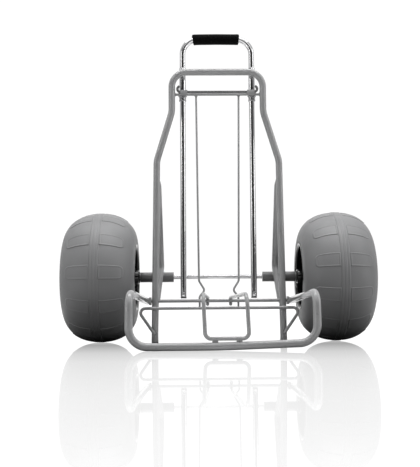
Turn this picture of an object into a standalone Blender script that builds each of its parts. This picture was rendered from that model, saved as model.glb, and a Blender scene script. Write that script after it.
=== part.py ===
"""Beach cart: a bent tube frame on two balloon wheels, with a sliding handle and a folding nose."""

import bpy
import bmesh
from math import cos, radians, sin, sqrt
from mathutils import Matrix, Vector

# Clearances
CONTACT_GAP = 0.0003         # left between pieces that are welded, pressed or resting
PLAY = 0.0003                # radial room of a pin in its hole and of a plug in its tube

# Main frame: one tube, two uprights and the top bar
FRAME_TUBE_R = 0.008
FRAME_TUBE_WALL = 0.0015
FOOT_HALF = 0.150            # half distance between the uprights' centres at the floor
LOWER_KNEE_HALF = 0.145
LOWER_KNEE_SHARE = 2 / 3      # height of each knee as a share of the top bar's
UPPER_KNEE_HALF = 0.109
UPPER_KNEE_SHARE = 0.850
TOP_BAR_Z = 0.645
TOP_CORNER_R = 0.036
KNEE_R = 0.060
FOOT_FLANGE = 0.003          # thickness of the foot plug's flange, which stands on the floor
PLUG_LENGTH = 0.014

# Guides of the handle, behind the top bar
LEG_HALF = 0.0834   # half distance between the handle's legs
LEG_R = 0.007
LEG_WALL = 0.0012
SLEEVE_WALL = 0.0009
SLEEVE_ABOVE_BAR = 0.014      # how far the guides stand above the top bar's centre
SLEEVE_BELOW_ROD = 0.002      # and below the cross bar's
BUSH_RIM = 0.0006             # how much wider the bush is than the sleeve
BUSH_HEIGHT = 0.0115

# Rods and wires of the back
ROD_R = 0.0030   # upper cross bar and hook bar
CROSS_BAR_DROP = 0.0535       # from the top bar's centre to the cross bar's
HOOK_BEYOND_SLEEVE = 0.0025
HOOK_RISE = 0.014
SADDLE_WALL = 0.0015
SADDLE_HEIGHT = 0.010
WIRE_R = 0.0024
WIRE_TOP_HALF = 0.051
WIRE_LOW_HALF = 0.0468
WIRE_JOG_HALF = 0.0332
WIRE_END_HALF = 0.0455
WIRE_LOW_Z = 0.145
WIRE_JOG_Z = 0.123
WIRE_RETURN_Z = 0.1085

# Nose hinge and the ledge wire under it
HINGE_Z = 0.0985
HINGE_ROD_R = 0.0038
NUT_FLATS = 0.012
NUT_THICKNESS = 0.0055
ROD_BEYOND_NUT = 0.002
LEDGE_R = 0.0035
LEDGE_HALF = 0.192
LEDGE_Z = 0.0815
LEDGE_END_Z = 0.021

# Rear braces and the axle that they carry
BRACE_R = 0.008
BRACE_TOP_HALF = 0.1435       # the braces lean inwards down to the kink, and out again under the axle
BRACE_KINK_HALF = 0.1385
BRACE_LOW_HALF = 0.1480
BRACE_TOP_DROP = 0.040        # from the lower knee to the bend under the brace's top end
BRACE_KINK_Y = 0.066
BRACE_KINK_Z = 0.180
BRACE_LOW_Z = 0.088
BRACE_TAIL = 0.012           # straight stretch at each end, along the upright
AXLE_Z = 0.1565
AXLE_R = 0.005
AXLE_SLEEVE_R = 0.0122
AXLE_SLEEVE_IN = 0.108
AXLE_SLEEVE_OUT = 0.1886
WASHER_R = 0.0115
WASHER_THICKNESS = 0.0012
CAP_R = 0.010
CAP_WALL = 0.002

# Nose: outer loop and inner bail
NOSE_R = 0.008
SPIGOT_SINK = NOSE_R * 0.75     # how far the eye's spigot starts outside the rail's end
NOSE_REACH = 0.285           # from the uprights' plane to the front bar's centre
NOSE_ROOT_OUT = 0.0085        # from the upright's side to the rail's axis at the hinge
NOSE_ROOT_REACH = 0.018
NOSE_CORNER_HALF = 0.1865
NOSE_CORNER_Z = 0.115
NOSE_FRONT_HALF = 0.1875
NOSE_CORNER_R = 0.026
NOSE_FOOT_R = 0.037
EYE_THICKNESS = 0.0050
EYE_RADIUS = 0.0092
TONGUE_HALF = EYE_RADIUS * 0.8   # half height of the tongue between the eye and its rail
BAIL_R = 0.0040
BAIL_ROOT_HALF = 0.027
BAIL_FRONT_HALF = 0.0435
BAIL_CORNER_Z = 0.112
BAIL_BAR_Z = 0.0236
BAIL_TOP_LEAN = 0.004        # the bail sits a little to one side at its corners
BAIL_BAR_LEAN = 0.008        # and a little more at its bar
BAIL_STRAIGHT = 0.042
TAB_SPACING = 0.048
TAB_WIDTH = 0.012
TAB_DEPTH = 0.004

# Handle
GRIP_ABOVE_BAR = 0.0845       # from the top bar to the handle's top at its corners
HANDLE_CROWN = 0.0015        # how much higher its middle is
HANDLE_CORNER_R = 0.036
HANDLE_CROWN_R = 1.0            # the slight bend in the middle of the grip bar
HANDLE_BOTTOM = 0.1045
LEG_PLUG_FLANGE = 0.003
LEG_PLUG_DEPTH = 0.0035
GRIP_HALF = 0.056
GRIP_OFFSET = -0.0025         # the foam sits a little to the left
GRIP_FOAM = 0.0058
GRIP_END_SWELL = 0.0008
BUTTON_Z = 0.1165
BUTTON_SHARE = 3 / 7          # the button's radius as a share of the leg's
BUTTON_HEAD_RIM = 0.0012
BUTTON_HEAD = 0.0012
BUTTON_PROUD = 0.0025        # how far it stands out of the leg, and so its travel
SPRING_STRIP = 0.0006
SPRING_WIDTH = 0.004
SPRING_LENGTH = 0.020

# Wheels
WHEEL_HALF = 0.284   # distance of each wheel's middle from the cart's middle
TYRE_R = AXLE_Z
TYRE_HALF_WIDTH = 0.0868
TYRE_WIDEST_RISE = 0.0092     # from the bead to the radius where the tyre is widest
TYRE_ROUNDNESS = 2.15
TYRE_WALL = 0.004
BEAD_R = 0.0782
BEAD_HALF = 0.0813
BEAD_WIDTH = 0.015
BARREL_WALL = 0.003
FLANGE_RISE = 0.0030
FLANGE_THICKNESS = 0.0025
WEB_INSET = 0.012
WEB_THICKNESS = 0.004
HUB_R = 0.018
HUB_CHAMFER = 0.001
HUB_DRAFT = 0.002               # the hub is this much wider where it meets the web
HUB_OUTER_END = 0.068
RIB_COUNT = 6
RIB_THICKNESS = 0.003
RIB_DROP = 0.012             # how far the ribs stay inside the rim's flange
BUSH_OUTER_R = 0.011
BUSH_FLANGE_R = 0.014
BUSH_FLANGE = 0.002
BUSH_LENGTH = 0.016
VALVE_R = 0.0026
VALVE_COLLAR_R = 0.005
VALVE_LENGTH = 0.026
VALVE_OFFSET = 0.048
VALVE_FOOT = 0.004            # from the barrel's inner face to the collar's top and the stem's thread
VALVE_HEAD = 0.003

# Facets
TUBE_SIDES = 12
ROD_SIDES = 8
WHEEL_SEGMENTS = 36          # tyre and rim share their facets, so that they seat evenly
SMALL_SEGMENTS = 12
BEND_STEP = radians(22)
HARD_EDGE = radians(35)

# What follows from the sizes above
LOWER_KNEE_Z = TOP_BAR_Z * LOWER_KNEE_SHARE
UPPER_KNEE_Z = TOP_BAR_Z * UPPER_KNEE_SHARE
BRACE_TOP_Z = LOWER_KNEE_Z - BRACE_TOP_DROP
CROSS_BAR_Z = TOP_BAR_Z - CROSS_BAR_DROP
SLEEVE_BOTTOM = CROSS_BAR_Z - SLEEVE_BELOW_ROD
SLEEVE_TOP = TOP_BAR_Z + SLEEVE_ABOVE_BAR
SLEEVE_R = LEG_R + PLAY + SLEEVE_WALL
BUSH_R = SLEEVE_R + BUSH_RIM
HOOK_HALF = LEG_HALF + SLEEVE_R + HOOK_BEYOND_SLEEVE
GRIP_Z = TOP_BAR_Z + GRIP_ABOVE_BAR
GRIP_R = LEG_R + GRIP_FOAM
GRIP_END_R = GRIP_R + GRIP_END_SWELL
BUTTON_R = LEG_R * BUTTON_SHARE
BUTTON_HEAD_R = BUTTON_R + BUTTON_HEAD_RIM
TYRE_WIDEST_R = BEAD_R + TYRE_WIDEST_RISE
FLANGE_R = BEAD_R + FLANGE_RISE
GUIDE_Y = FRAME_TUBE_R + CONTACT_GAP + SLEEVE_R
ROD_Y = GUIDE_Y - SLEEVE_R - CONTACT_GAP - ROD_R
HOOK_BAR_Z = CROSS_BAR_Z + 2 * ROD_R + CONTACT_GAP
BUSH_TOP = SLEEVE_BOTTOM - CONTACT_GAP
LOCK_Z = BUSH_TOP - BUSH_HEIGHT / 2
WIRE_Y = HINGE_ROD_R + CONTACT_GAP + WIRE_R
LEDGE_Y = -(FRAME_TUBE_R + CONTACT_GAP + LEDGE_R)
EYE_IN = FOOT_HALF + FRAME_TUBE_R
EYE_OUT = EYE_IN + EYE_THICKNESS
NOSE_ROOT_HALF = EYE_IN + NOSE_ROOT_OUT
NUT_IN = EYE_OUT + CONTACT_GAP
HUB_INNER_FACE = AXLE_SLEEVE_OUT + WASHER_THICKNESS + 2 * CONTACT_GAP + BUSH_FLANGE + CONTACT_GAP
HUB_INNER_END = WHEEL_HALF - HUB_INNER_FACE
BARREL_R = BEAD_R - CONTACT_GAP


def upright_half(z):
    """Half distance between the uprights' centres, at a height below the lower knee."""
    return FOOT_HALF + (LOWER_KNEE_HALF - FOOT_HALF) * z / LOWER_KNEE_Z


def brace_y(z, half):
    """How far behind the upright a brace touches it, at a height and a distance from the cart's middle."""
    apart = FRAME_TUBE_R + BRACE_R + CONTACT_GAP
    return sqrt(apart ** 2 - (upright_half(z) - half) ** 2)


def axle_y():
    """The axle's sleeves nestle behind the braces' lower stretches."""
    run = BRACE_KINK_Y - brace_y(BRACE_LOW_Z, BRACE_LOW_HALF)
    drop = BRACE_KINK_Z - BRACE_LOW_Z
    lean = run / drop
    on_brace = BRACE_KINK_Y - (BRACE_KINK_Z - AXLE_Z) * lean
    apart = AXLE_SLEEVE_R + BRACE_R + CONTACT_GAP
    return on_brace + apart * sqrt(1 + lean ** 2)


AXLE_Y = axle_y()
MIDDLE_Y = (AXLE_Y + TYRE_R - NOSE_REACH - NOSE_R) / 2     # the middle of the cart's depth


def clear_scene():
    for obj in list(bpy.data.objects):
        bpy.data.objects.remove(obj, do_unlink=True)


def material(name, colour, roughness, metallic=0.0):
    made = bpy.data.materials.new(name)
    made.use_nodes = True
    shader = made.node_tree.nodes["Principled BSDF"]
    shader.inputs["Base Color"].default_value = (*colour, 1.0)
    shader.inputs["Roughness"].default_value = roughness
    shader.inputs["Metallic"].default_value = metallic
    return made


def pivot(name, location, parent=None):
    """An empty that carries one moving group, at a point on its joint's axis."""
    empty = bpy.data.objects.new(name, None)
    bpy.context.scene.collection.objects.link(empty)
    empty.parent = parent
    empty.location = Vector(location) - place_of(parent) if parent else Vector()
    empty["place"] = location
    return empty


def place_of(carrier):
    """Where a carrier stands in the coordinates that the sizes above use."""
    return Vector(carrier["place"][:])


def add_piece(name, bm, made_of, carrier, origin=None):
    """Turns a bmesh in the frame's coordinates into an object under its carrier."""
    place = place_of(carrier)
    origin = Vector(origin) if origin else place
    bmesh.ops.recalc_face_normals(bm, faces=bm.faces)
    mesh = bpy.data.meshes.new(name)
    bm.to_mesh(mesh)
    bm.free()
    mesh.transform(Matrix.Translation(-origin))
    mesh.shade_smooth()
    mesh.set_sharp_from_angle(angle=HARD_EDGE)
    mesh.materials.append(made_of)
    obj = bpy.data.objects.new(name, mesh)
    bpy.context.scene.collection.objects.link(obj)
    obj.parent = carrier
    obj.location = origin - place
    return obj


def combine(obj, tool, operation):
    """Cuts or joins a helper with an object, and hides the helper."""
    tool.hide_render = True
    tool.display_type = "WIRE"
    modifier = obj.modifiers.new(tool.name, "BOOLEAN")
    modifier.operation = operation
    modifier.object = tool


def bent_path(corners, radii):
    """The points of a bent rod: straight runs with an arc of the given radius at each inner corner."""
    path = [Vector(corners[0])]
    for before, corner, after, radius in zip(corners, corners[1:], corners[2:], radii):
        corner = Vector(corner)
        back = (Vector(before) - corner).normalized()
        ahead = (Vector(after) - corner).normalized()
        turn = (-back).angle(ahead)
        if turn < 1e-4 or radius <= 0:
            path.append(corner)
            continue
        setback = radius * sin(turn / 2) / cos(turn / 2)
        centre = corner + (back + ahead).normalized() * radius / cos(turn / 2)
        start = corner + back * setback - centre
        axis = start.cross(corner + ahead * setback - centre).normalized()
        steps = max(2, round(turn / BEND_STEP))
        for step in range(steps + 1):
            path.append(centre + Matrix.Rotation(turn * step / steps, 3, axis) @ start)
    path.append(Vector(corners[-1]))
    return path


def mirrored(corners):
    """The other half of a symmetrical route, so that the whole runs from one side to the other."""
    return corners + [(-x, y, z) for x, y, z in reversed(corners)]


def ring(bm, centre, normal, tangent, radius, sides):
    across = tangent.cross(normal)
    turns = [2 * radians(180) * side / sides for side in range(sides)]
    return [bm.verts.new(centre + radius * (cos(a) * normal + sin(a) * across)) for a in turns]


def bridge(bm, first, second):
    for side in range(len(first)):
        after = (side + 1) % len(first)
        bm.faces.new((first[side], first[after], second[after], second[side]))


def sweep(path, radii, sides, bore=0.0):
    """A round bar along a path, or a tube with open ends where a bore is given."""
    if not isinstance(radii, (list, tuple)):
        radii = [radii] * len(path)
    bm = bmesh.new()
    normal = None
    outer, inner = [], []
    for index, point in enumerate(path):
        before = path[max(index - 1, 0)]
        after = path[min(index + 1, len(path) - 1)]
        arrive = (point - before).normalized() if index else Vector()
        leave = (after - point).normalized() if index < len(path) - 1 else Vector()
        tangent = (arrive + leave).normalized()
        if normal is None:
            normal = tangent.orthogonal().normalized()
        normal = (normal - normal.dot(tangent) * tangent).normalized()
        outer.append(ring(bm, point, normal, tangent, radii[index], sides))
        if bore:
            inner.append(ring(bm, point, normal, tangent, bore, sides))
    for first, second in zip(outer, outer[1:]):
        bridge(bm, first, second)
    for first, second in zip(inner, inner[1:]):
        bridge(bm, first, second)
    if bore:
        bridge(bm, outer[0], inner[0])
        bridge(bm, outer[-1], inner[-1])
    else:
        bm.faces.new(outer[0])
        bm.faces.new(outer[-1])
    return bm


def turned(profile, centre, axis, segments):
    """A turned piece. The profile holds (along the axis, radius) points and runs round its section."""
    bm = bmesh.new()
    axis = Vector(axis).normalized()
    normal = axis.orthogonal().normalized()
    if abs(axis.x) > 0.9:
        normal = Vector((0, 0, 1))
    rings = []
    for along, radius in profile:
        point = Vector(centre) + axis * along
        if radius:
            rings.append(ring(bm, point, normal, axis, radius, segments))
        else:
            rings.append([bm.verts.new(point)])
    solid = not profile[0][1]
    pairs = list(zip(rings, rings[1:])) + ([] if solid else [(rings[-1], rings[0])])
    for first, second in pairs:
        if len(first) == 1 or len(second) == 1:
            tip, rim = (first, second) if len(first) == 1 else (second, first)
            for side in range(segments):
                bm.faces.new((tip[0], rim[side], rim[(side + 1) % segments]))
        else:
            bridge(bm, first, second)
    return bm


def pipe(centre, axis, start, end, radius, bore, segments):
    return turned([(start, bore), (end, bore), (end, radius), (start, radius)], centre, axis, segments)


def stud(centre, axis, steps, segments):
    """A solid round piece from (along, radius) steps."""
    return turned([(steps[0][0], 0.0), *steps, (steps[-1][0], 0.0)], centre, axis, segments)


def slab(outline, axis, start, end):
    """An outline of points, drawn out along an axis."""
    bm = bmesh.new()
    axis = Vector(axis)
    near = [bm.verts.new(Vector(point) + axis * start) for point in outline]
    far = [bm.verts.new(Vector(point) + axis * end) for point in outline]
    bridge(bm, near, far)
    bm.faces.new(near)
    bm.faces.new(far)
    return bm


def arc(centre, radius, start, end, steps, plane):
    """Points of an arc in one plane, from two unit vectors."""
    first, second = Vector(plane[0]), Vector(plane[1])
    turns = [start + (end - start) * step / steps for step in range(steps + 1)]
    return [Vector(centre) + radius * (cos(a) * first + sin(a) * second) for a in turns]


def both_sides():
    return (("left", -1), ("right", 1))


# ---------------------------------------------------------------- frame


def build_main_frame(carrier, paint):
    half = [
        (-FOOT_HALF, 0, FOOT_FLANGE + CONTACT_GAP),
        (-FOOT_HALF, 0, FOOT_FLANGE + PLUG_LENGTH),
        (-LOWER_KNEE_HALF, 0, LOWER_KNEE_Z),
        (-UPPER_KNEE_HALF, 0, UPPER_KNEE_Z),
        (-UPPER_KNEE_HALF, 0, TOP_BAR_Z),
    ]
    radii = [0, KNEE_R, KNEE_R, TOP_CORNER_R, TOP_CORNER_R, KNEE_R, KNEE_R, 0]
    path = bent_path(mirrored(half), radii)
    tube = sweep(path, FRAME_TUBE_R, TUBE_SIDES, FRAME_TUBE_R - FRAME_TUBE_WALL)
    frame = add_piece("main_frame", tube, paint, carrier)
    reach = FOOT_HALF + 3 * FRAME_TUBE_R
    drill = stud((0, 0, HINGE_Z), (1, 0, 0), [(-reach, HINGE_ROD_R + PLAY), (reach, HINGE_ROD_R + PLAY)],
                 SMALL_SEGMENTS)
    combine(frame, add_piece("hinge_drill", drill, paint, carrier), "DIFFERENCE")


def build_foot_plug(name, side, carrier, plastic):
    spigot = FRAME_TUBE_R - FRAME_TUBE_WALL - PLAY
    steps = [(0.0, FRAME_TUBE_R), (FOOT_FLANGE, FRAME_TUBE_R), (FOOT_FLANGE, spigot),
             (FOOT_FLANGE + PLUG_LENGTH, spigot)]
    add_piece(name, stud((side * FOOT_HALF, 0, 0), (0, 0, 1), steps, TUBE_SIDES), plastic, carrier)


def build_upper_rods(carrier, paint):
    reach = UPPER_KNEE_HALF - FRAME_TUBE_R - CONTACT_GAP
    bar = stud((0, ROD_Y, CROSS_BAR_Z), (1, 0, 0), [(-reach, ROD_R), (reach, ROD_R)], ROD_SIDES)
    add_piece("upper_cross_bar", bar, paint, carrier)
    half = [
        (-HOOK_HALF, ROD_Y - 2 * ROD_R, HOOK_BAR_Z + HOOK_RISE),
        (-HOOK_HALF, ROD_Y, HOOK_BAR_Z),
    ]
    path = bent_path(mirrored(half), [2 * ROD_R, 2 * ROD_R])
    add_piece("hook_bar", sweep(path, ROD_R, ROD_SIDES), paint, carrier)


def build_guide(name_side, side, carrier, paint, chrome, steel):
    centre = (side * LEG_HALF, GUIDE_Y, 0)
    bore = LEG_R + PLAY
    sleeve = pipe(centre, (0, 0, 1), SLEEVE_BOTTOM, SLEEVE_TOP, SLEEVE_R, bore, TUBE_SIDES)
    add_piece(f"guide_sleeve_{name_side}", sleeve, chrome, carrier)
    bush = pipe(centre, (0, 0, 1), BUSH_TOP - BUSH_HEIGHT, BUSH_TOP, BUSH_R, bore, TUBE_SIDES)
    bush = add_piece(f"guide_bush_{name_side}", bush, steel, carrier)
    hole_r = BUTTON_R + PLAY
    hole = stud((side * LEG_HALF, GUIDE_Y, LOCK_Z), (0, -1, 0), [(0, hole_r), (2 * BUSH_R, hole_r)], SMALL_SEGMENTS)
    combine(bush, add_piece(f"lock_drill_{name_side}", hole, steel, carrier), "DIFFERENCE")
    inner = SLEEVE_R + CONTACT_GAP
    outer = inner + SADDLE_WALL
    plane = ((1, 0, 0), (0, 1, 0))
    middle = (side * LEG_HALF, GUIDE_Y, (CROSS_BAR_Z + HOOK_BAR_Z) / 2)
    band = arc(middle, inner, radians(-20), radians(200), 10, plane)
    band += arc(middle, outer, radians(200), radians(-20), 10, plane)
    saddle = slab(band, (0, 0, 1), -SADDLE_HEIGHT / 2, SADDLE_HEIGHT / 2)
    add_piece(f"sleeve_saddle_{name_side}", saddle, paint, carrier)


def build_back_wire(name, side, carrier, paint):
    top = CROSS_BAR_Z - ROD_R - CONTACT_GAP - WIRE_R / 2      # its slanted end clears the bar
    corners = [
        (side * WIRE_TOP_HALF, WIRE_Y, top),
        (side * WIRE_LOW_HALF, WIRE_Y, WIRE_LOW_Z),
        (side * WIRE_JOG_HALF, WIRE_Y, WIRE_JOG_Z),
        (side * WIRE_END_HALF, WIRE_Y, WIRE_RETURN_Z),
        (side * WIRE_END_HALF, WIRE_Y, LEDGE_Z),
        (side * WIRE_END_HALF, LEDGE_Y + LEDGE_R + CONTACT_GAP, LEDGE_Z),
    ]
    radii = [3 * WIRE_R, 2 * WIRE_R, 2 * WIRE_R, 2 * WIRE_R]
    add_piece(name, sweep(bent_path(corners, radii), WIRE_R, ROD_SIDES), paint, carrier)


def build_hinge(carrier, steel):
    reach = NUT_IN + NUT_THICKNESS + ROD_BEYOND_NUT
    rod = stud((0, 0, HINGE_Z), (1, 0, 0), [(-reach, HINGE_ROD_R), (reach, HINGE_ROD_R)], SMALL_SEGMENTS)
    add_piece("hinge_rod", rod, steel, carrier)
    for name_side, side in both_sides():
        centre = (0, 0, HINGE_Z)
        corner = NUT_FLATS / 2 / cos(radians(30))
        nut = stud(centre, (side, 0, 0), [(NUT_IN, corner), (NUT_IN + NUT_THICKNESS, corner)], 6)
        nut = add_piece(f"hinge_nut_{name_side}", nut, steel, carrier)
        drill = [(NUT_IN - NUT_THICKNESS, HINGE_ROD_R + PLAY), (NUT_IN + 2 * NUT_THICKNESS, HINGE_ROD_R + PLAY)]
        drill = stud(centre, (side, 0, 0), drill, SMALL_SEGMENTS)
        combine(nut, add_piece(f"nut_drill_{name_side}", drill, steel, carrier), "DIFFERENCE")


def build_ledge_wire(carrier, paint):
    half = [(-upright_half(LEDGE_END_Z), LEDGE_Y, LEDGE_END_Z), (-LEDGE_HALF, LEDGE_Y, LEDGE_Z)]
    path = bent_path(mirrored(half), [3 * LEDGE_R, 3 * LEDGE_R])
    add_piece("ledge_wire", sweep(path, LEDGE_R, ROD_SIDES), paint, carrier)


def build_rear_brace(name, side, carrier, paint):
    top, kink, low = side * BRACE_TOP_HALF, side * BRACE_KINK_HALF, side * BRACE_LOW_HALF
    top_y = brace_y(BRACE_TOP_Z, BRACE_TOP_HALF)
    low_y = brace_y(BRACE_LOW_Z, BRACE_LOW_HALF)
    corners = [
        (top, top_y, BRACE_TOP_Z + BRACE_TAIL),
        (top, top_y, BRACE_TOP_Z),
        (kink, BRACE_KINK_Y, BRACE_KINK_Z),
        (low, low_y, BRACE_LOW_Z),
        (low, low_y, BRACE_LOW_Z - BRACE_TAIL),
    ]
    path = bent_path(corners, [2 * BRACE_R, 3 * BRACE_R, 2 * BRACE_R])
    tube = sweep(path, BRACE_R, TUBE_SIDES, BRACE_R - FRAME_TUBE_WALL)
    add_piece(name, tube, paint, carrier)


def build_axle(carrier, paint, steel, plastic):
    centre = (0, AXLE_Y, AXLE_Z)
    outer_face = WHEEL_HALF + HUB_OUTER_END + CONTACT_GAP + BUSH_FLANGE
    washer_in = outer_face + CONTACT_GAP
    cap_in = washer_in + WASHER_THICKNESS + CONTACT_GAP
    rod_end = cap_in + CAP_R
    rod = stud(centre, (1, 0, 0), [(-rod_end, AXLE_R), (rod_end, AXLE_R)], SMALL_SEGMENTS)
    add_piece("axle_rod", rod, steel, carrier)
    bore = AXLE_R + PLAY
    for name_side, side in both_sides():
        axis = (side, 0, 0)
        sleeve = pipe(centre, axis, AXLE_SLEEVE_IN, AXLE_SLEEVE_OUT, AXLE_SLEEVE_R, bore, 20)
        add_piece(f"axle_sleeve_{name_side}", sleeve, paint, carrier)
        for where, start in (("inner", AXLE_SLEEVE_OUT + CONTACT_GAP), ("outer", washer_in)):
            washer = pipe(centre, axis, start, start + WASHER_THICKNESS, WASHER_R, bore, SMALL_SEGMENTS)
            add_piece(f"axle_washer_{where}_{name_side}", washer, steel, carrier)
        top = rod_end + CONTACT_GAP
        cap = turned([(top, 0.0), (top, bore), (cap_in, bore), (cap_in, CAP_R), (top, CAP_R),
                      (top + CAP_WALL, CAP_R - CAP_WALL), (top + CAP_WALL, 0.0)], centre, axis, SMALL_SEGMENTS)
        add_piece(f"axle_cap_{name_side}", cap, plastic, carrier)


# ---------------------------------------------------------------- nose


def nose_root(side):
    return Vector((side * NOSE_ROOT_HALF, -NOSE_ROOT_REACH, HINGE_Z))


def nose_corner(side):
    return Vector((side * NOSE_CORNER_HALF, -NOSE_REACH, NOSE_CORNER_Z))


def build_nose_loop(carrier, paint):
    half = [tuple(nose_root(-1)), tuple(nose_corner(-1)), (-NOSE_FRONT_HALF, -NOSE_REACH, NOSE_R)]
    path = bent_path(mirrored(half), [NOSE_CORNER_R, NOSE_FOOT_R, NOSE_FOOT_R, NOSE_CORNER_R])
    tube = sweep(path, NOSE_R, TUBE_SIDES, NOSE_R - FRAME_TUBE_WALL)
    add_piece("nose_loop", tube, paint, carrier)


def build_nose_eye(name_side, side, carrier, steel):
    plane = ((0, 1, 0), (0, 0, 1))
    axis_point = (0, 0, HINGE_Z)
    tongue_end = -(NOSE_ROOT_REACH - NOSE_R / 4)
    outline = arc(axis_point, EYE_RADIUS, radians(-90), radians(90), 8, plane)
    outline += [Vector((0, tongue_end, HINGE_Z + TONGUE_HALF)), Vector((0, tongue_end, HINGE_Z - TONGUE_HALF))]
    eye = slab(outline, (side, 0, 0), EYE_IN, EYE_OUT)
    eye = add_piece(f"nose_eye_{name_side}", eye, steel, carrier)
    along = nose_corner(side) - nose_root(side)
    spigot_r = NOSE_R - FRAME_TUBE_WALL - PLAY
    spigot = stud(nose_root(side), along, [(-SPIGOT_SINK, spigot_r), (PLUG_LENGTH, spigot_r)], SMALL_SEGMENTS)
    combine(eye, add_piece(f"eye_spigot_{name_side}", spigot, steel, carrier), "UNION")
    hole = [(EYE_IN - EYE_THICKNESS, HINGE_ROD_R + PLAY), (EYE_OUT + EYE_THICKNESS, HINGE_ROD_R + PLAY)]
    hole = stud(axis_point, (side, 0, 0), hole, SMALL_SEGMENTS)
    combine(eye, add_piece(f"eye_drill_{name_side}", hole, steel, carrier), "DIFFERENCE")


def bail_side(side):
    """Half of the bail: a hook round the hinge rod, then a leg forward and down to the bar."""
    hook_r = HINGE_ROD_R + PLAY + BAIL_R
    root = (side * BAIL_ROOT_HALF, 0, HINGE_Z)
    hook = arc(root, hook_r, radians(-110), radians(75), 9, ((0, 1, 0), (0, 0, 1)))
    top = HINGE_Z + hook_r
    leg = [
        (side * BAIL_ROOT_HALF, 0, top),
        (side * BAIL_ROOT_HALF, -BAIL_STRAIGHT, top),
        (side * BAIL_FRONT_HALF + BAIL_TOP_LEAN, -NOSE_REACH, BAIL_CORNER_Z),
        (side * BAIL_FRONT_HALF + BAIL_BAR_LEAN, -NOSE_REACH, BAIL_BAR_Z),
    ]
    return hook, leg


def build_bail(carrier, paint):
    left_hook, left_leg = bail_side(-1)
    right_hook, right_leg = bail_side(1)
    corners = left_leg + right_leg[::-1]
    radii = [6 * BAIL_R, 6 * BAIL_R, 3 * BAIL_R, 3 * BAIL_R, 6 * BAIL_R, 6 * BAIL_R]
    path = left_hook + bent_path(corners, radii) + right_hook[::-1]
    add_piece("nose_bail", sweep(path, BAIL_R, ROD_SIDES), paint, carrier)
    low = 2 * NOSE_R + CONTACT_GAP
    high = BAIL_BAR_Z - BAIL_R - CONTACT_GAP
    for name_side, side in both_sides():
        x = BAIL_BAR_LEAN + side * TAB_SPACING / 2
        ends = [(-TAB_WIDTH / 2, low), (TAB_WIDTH / 2, low), (TAB_WIDTH / 2, high), (-TAB_WIDTH / 2, high)]
        outline = [(x + dx, -NOSE_REACH, z) for dx, z in ends]
        tab = slab(outline, (0, 1, 0), -TAB_DEPTH / 2, TAB_DEPTH / 2)
        add_piece(f"bail_tab_{name_side}", tab, paint, carrier)


# ---------------------------------------------------------------- handle


def handle_path():
    half = [(-LEG_HALF, GUIDE_Y, HANDLE_BOTTOM + LEG_PLUG_FLANGE + CONTACT_GAP), (-LEG_HALF, GUIDE_Y, GRIP_Z)]
    corners = half + [(0, GUIDE_Y, GRIP_Z + HANDLE_CROWN)] + [(-x, y, z) for x, y, z in reversed(half)]
    return bent_path(corners, [HANDLE_CORNER_R, HANDLE_CROWN_R, HANDLE_CORNER_R])


def handle_top_z(x):
    """Height of the handle's centre line at a place under the grip, which reaches into the corner bends."""
    path = handle_path()
    for first, second in zip(path, path[1:]):
        if first.x < x <= second.x:
            return first.z + (second.z - first.z) * (x - first.x) / (second.x - first.x)
    return GRIP_Z


def grip_path():
    shares = [-1.0, -0.93, -0.80, -0.55, 0.0, 0.55, 0.80, 0.93, 1.0]
    spots = [GRIP_OFFSET + GRIP_HALF * share for share in shares]
    return [Vector((x, GUIDE_Y, handle_top_z(x))) for x in spots]


def build_handle(carrier, chrome, foam):
    bore = LEG_R - LEG_WALL
    loop = add_piece("handle_loop", sweep(handle_path(), LEG_R, TUBE_SIDES, bore), chrome, carrier)
    for name_side, side in both_sides():
        hole_r = BUTTON_R + PLAY
        hole = stud((side * LEG_HALF, GUIDE_Y, BUTTON_Z), (0, -1, 0), [(0, hole_r), (2 * LEG_R, hole_r)],
                    SMALL_SEGMENTS)
        combine(loop, add_piece(f"button_drill_{name_side}", hole, chrome, carrier), "DIFFERENCE")
    radii = [GRIP_END_R - GRIP_END_SWELL, GRIP_END_R, GRIP_R, GRIP_R, GRIP_R, GRIP_R, GRIP_R, GRIP_END_R,
             GRIP_END_R - GRIP_END_SWELL]
    add_piece("handle_grip", sweep(grip_path(), radii, TUBE_SIDES + 4, LEG_R + 2 * PLAY), foam, carrier)


def build_leg_fittings(name_side, side, carrier, plastic, steel):
    x = side * LEG_HALF
    bore = LEG_R - LEG_WALL
    spigot = bore - PLAY
    steps = [(0.0, LEG_R), (LEG_PLUG_FLANGE, LEG_R), (LEG_PLUG_FLANGE, spigot),
             (LEG_PLUG_FLANGE + LEG_PLUG_DEPTH, spigot)]
    plug = stud((x, GUIDE_Y, HANDLE_BOTTOM), (0, 0, 1), steps, SMALL_SEGMENTS)
    add_piece(f"leg_plug_{name_side}", plug, plastic, carrier)
    # The spring is a strip folded back on itself behind the button, and clears the button's travel.
    front = SPRING_STRIP
    back = bore - PLAY - 2 * SPRING_STRIP
    fold = BUTTON_Z + SPRING_LENGTH
    middle = (0, GUIDE_Y + (front + back) / 2, fold)
    plane = ((0, 1, 0), (0, 0, 1))
    reach = (back - front) / 2
    foot = BUTTON_Z - BUTTON_HEAD_R
    outline = [Vector((0, middle[1] + reach, foot))]
    outline += arc(middle, reach, 0.0, radians(180), 8, plane)
    outline += [Vector((0, middle[1] - reach, foot)), Vector((0, middle[1] - reach + SPRING_STRIP, foot))]
    outline += arc(middle, reach - SPRING_STRIP, radians(180), 0.0, 8, plane)
    outline += [Vector((0, middle[1] + reach - SPRING_STRIP, foot))]
    strip = slab(outline, (1, 0, 0), x - SPRING_WIDTH / 2, x + SPRING_WIDTH / 2)
    add_piece(f"button_spring_{name_side}", strip, steel, carrier)


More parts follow.
